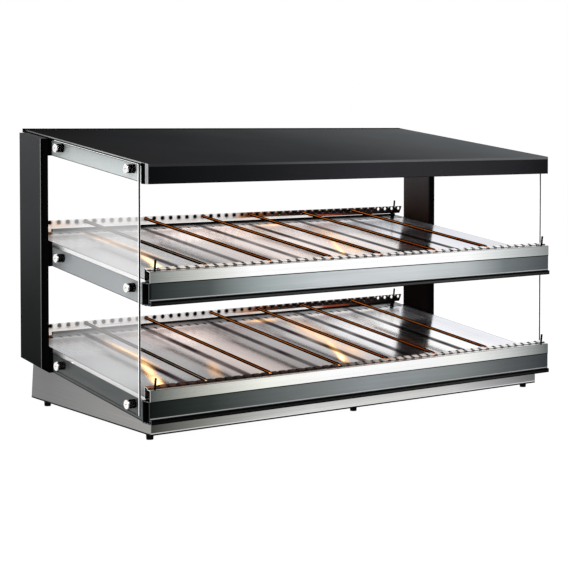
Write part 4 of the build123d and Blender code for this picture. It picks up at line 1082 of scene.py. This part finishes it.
# Dials: a tick for every half step and a figure for every whole one, from 0 to 9
KNOBS = (-0.35, -0.46)
TICK_RADIUS = 0.0215
FIGURE_RADIUS = 0.0262
HALF_STEP = radians(15.0)
ticks = {"long": [], "short": []}
figures = []
for x in KNOBS:
    centre = Vector(on_panel(x, CONTROL_HEIGHT, 0.0))
    for index in range(19):
        angle = HALF_STEP * index
        outward = PANEL_RIGHT * sin(angle) + PANEL_UP * cos(angle)
        whole_step = index % 2 == 0
        reach = TICK_RADIUS + (0.0004 if whole_step else 0.0)
        turn = Matrix((outward.cross(PANEL_OUT), outward, PANEL_OUT)).transposed().to_euler()
        place = centre + outward * reach + PANEL_OUT * 0.0001
        ticks["long" if whole_step else "short"].append((tuple(place), tuple(turn)))
        if whole_step:
            figures.append((str(index // 2), centre + outward * FIGURE_RADIUS + PANEL_OUT * 0.00005))
for kind, length in (("long", 0.0028), ("short", 0.0018)):
    tick_sizes = {"Width": 0.0004, "Depth": length, "Height": 0.0003}
    repeated(f"{kind}_ticks", ticks[kind], tick_sizes, box_shape, "rubber")


def lettering(name, words, size, finish):
    """Flat figures that stand slightly proud of the control panel."""
    panel_axes = Matrix((PANEL_RIGHT, PANEL_UP, PANEL_OUT)).transposed().to_4x4()
    merged = bmesh.new()
    for text, place in words:
        curve = bpy.data.curves.new(name, "FONT")
        curve.body = text
        curve.size = size
        curve.extrude = 0.00012
        curve.resolution_u = 3
        curve.align_x = curve.align_y = "CENTER"
        holder = in_scene(name, curve)
        mesh = plain_mesh(holder)
        mesh.transform(Matrix.Translation(place) @ panel_axes)
        merged.from_mesh(mesh)
        bpy.data.objects.remove(holder)
    bmesh.ops.remove_doubles(merged, verts=merged.verts, dist=1e-6)
    worked_piece(name, merged, finish)


lettering("dial_figures", figures, 0.0046, "rubber")
switch_marks = [
    (mark, Vector(on_panel(x, CONTROL_HEIGHT + rise, 0.00205)))
    for x in (-0.3, -0.41)
    for mark, rise in (("I", 0.0138), ("O", -0.0138))
]
lettering("switch_marks", switch_marks, 0.0034, "white_plastic")
bezels = [(on_panel(x, CONTROL_HEIGHT, 0.0004), panel_turn) for x in (-0.505, -0.53)]
repeated("lamp_bezels", bezels, {"Radius": 0.0056, "Wire": 0.0007}, ring_shape, "zinc")


# -------------------------------- stage, light and camera

def shown_rays(node):
    """1 for what the camera sees, also in mirrors and through glass; 0 for light on its way."""
    ray = node("ShaderNodeLightPath").outputs
    shown = ray["Is Camera Ray"]
    for kind in ("Is Glossy Ray", "Is Transmission Ray"):
        shown = node("ShaderNodeMath", (0, shown), (1, ray[kind]), operation="MAXIMUM").outputs[0]
    return shown


FLOOR_HALF = 60.0
FLOOR_GLOW = 0.93
corners = [(x * FLOOR_HALF, y * FLOOR_HALF, 0.0) for x, y in ((-1, -1), (1, -1), (1, 1), (-1, 1))]
mesh = bpy.data.meshes.new("pale_floor")
mesh.from_pydata(corners, [], [(0, 1, 2, 3)])
floor = in_scene("pale_floor", mesh)
floor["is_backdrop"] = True
ground = bpy.data.materials.new("pale_floor")
ground.use_nodes = True
ground.node_tree.nodes.clear()
node = partial(new_node, ground.node_tree)
matt = node("ShaderNodeBsdfDiffuse", ("Color", (0.95, 0.95, 0.95, 1.0)))
glow = node("ShaderNodeEmission", ("Strength", 1.05))
amount = share(node, shown_rays(node), FLOOR_GLOW)
mixed = node("ShaderNodeMixShader", (0, amount), (1, matt.outputs[0]), (2, glow.outputs[0]))
node("ShaderNodeOutputMaterial", ("Surface", mixed.outputs[0]))
floor.data.materials.append(ground)

world = bpy.data.worlds.new("soft_studio")
bpy.context.scene.world = world
world.use_nodes = True
world.node_tree.nodes.clear()
node = partial(new_node, world.node_tree)
soft = node("ShaderNodeBackground", ("Color", WHITE), ("Strength", 0.6))
white = node("ShaderNodeBackground", ("Color", WHITE), ("Strength", 1.0))
mixed = node("ShaderNodeMixShader", (0, shown_rays(node)), (1, soft.outputs[0]), (2, white.outputs[0]))
node("ShaderNodeOutputWorld", ("Surface", mixed.outputs[0]))


def softbox(name, place, aim, size, power):
    """A large soft lamp that points at a spot."""
    lamp = bpy.data.lights.new(name, "AREA")
    lamp.shape = "RECTANGLE"
    lamp.size, lamp.size_y = size
    lamp.energy = power
    holder = in_scene(name, lamp)
    holder.location = place
    holder.rotation_euler = (Vector(aim) - Vector(place)).to_track_quat("-Z", "Y").to_euler()


softbox("key_light", (-2.6, -3.0, 3.2), (0.0, 0.0, 0.3), (2.4, 2.4), 90.0)
softbox("fill_light", (3.0, -2.6, 2.2), (0.0, 0.0, 0.3), (2.6, 2.0), 50.0)
softbox("back_light", (0.5, 3.2, 2.6), (0.0, 0.0, 0.4), (3.0, 1.6), 40.0)

lens_view = bpy.data.cameras.new("photo_camera")
lens_view.sensor_width = 36.0
lens_view.lens = 95.859
lens_view.shift_y = -0.1878
lens_view.clip_start = 0.05
lens_view.clip_end = 200.0
camera = in_scene("photo_camera", lens_view)
camera.location = (-2.2665, -3.10297, 0.69214)
camera.rotation_euler = (radians(88.0), 0.0, radians(-35.823))
bpy.context.scene.camera = camera

bpy.context.scene.view_settings.view_transform = "Standard"

low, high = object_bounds()
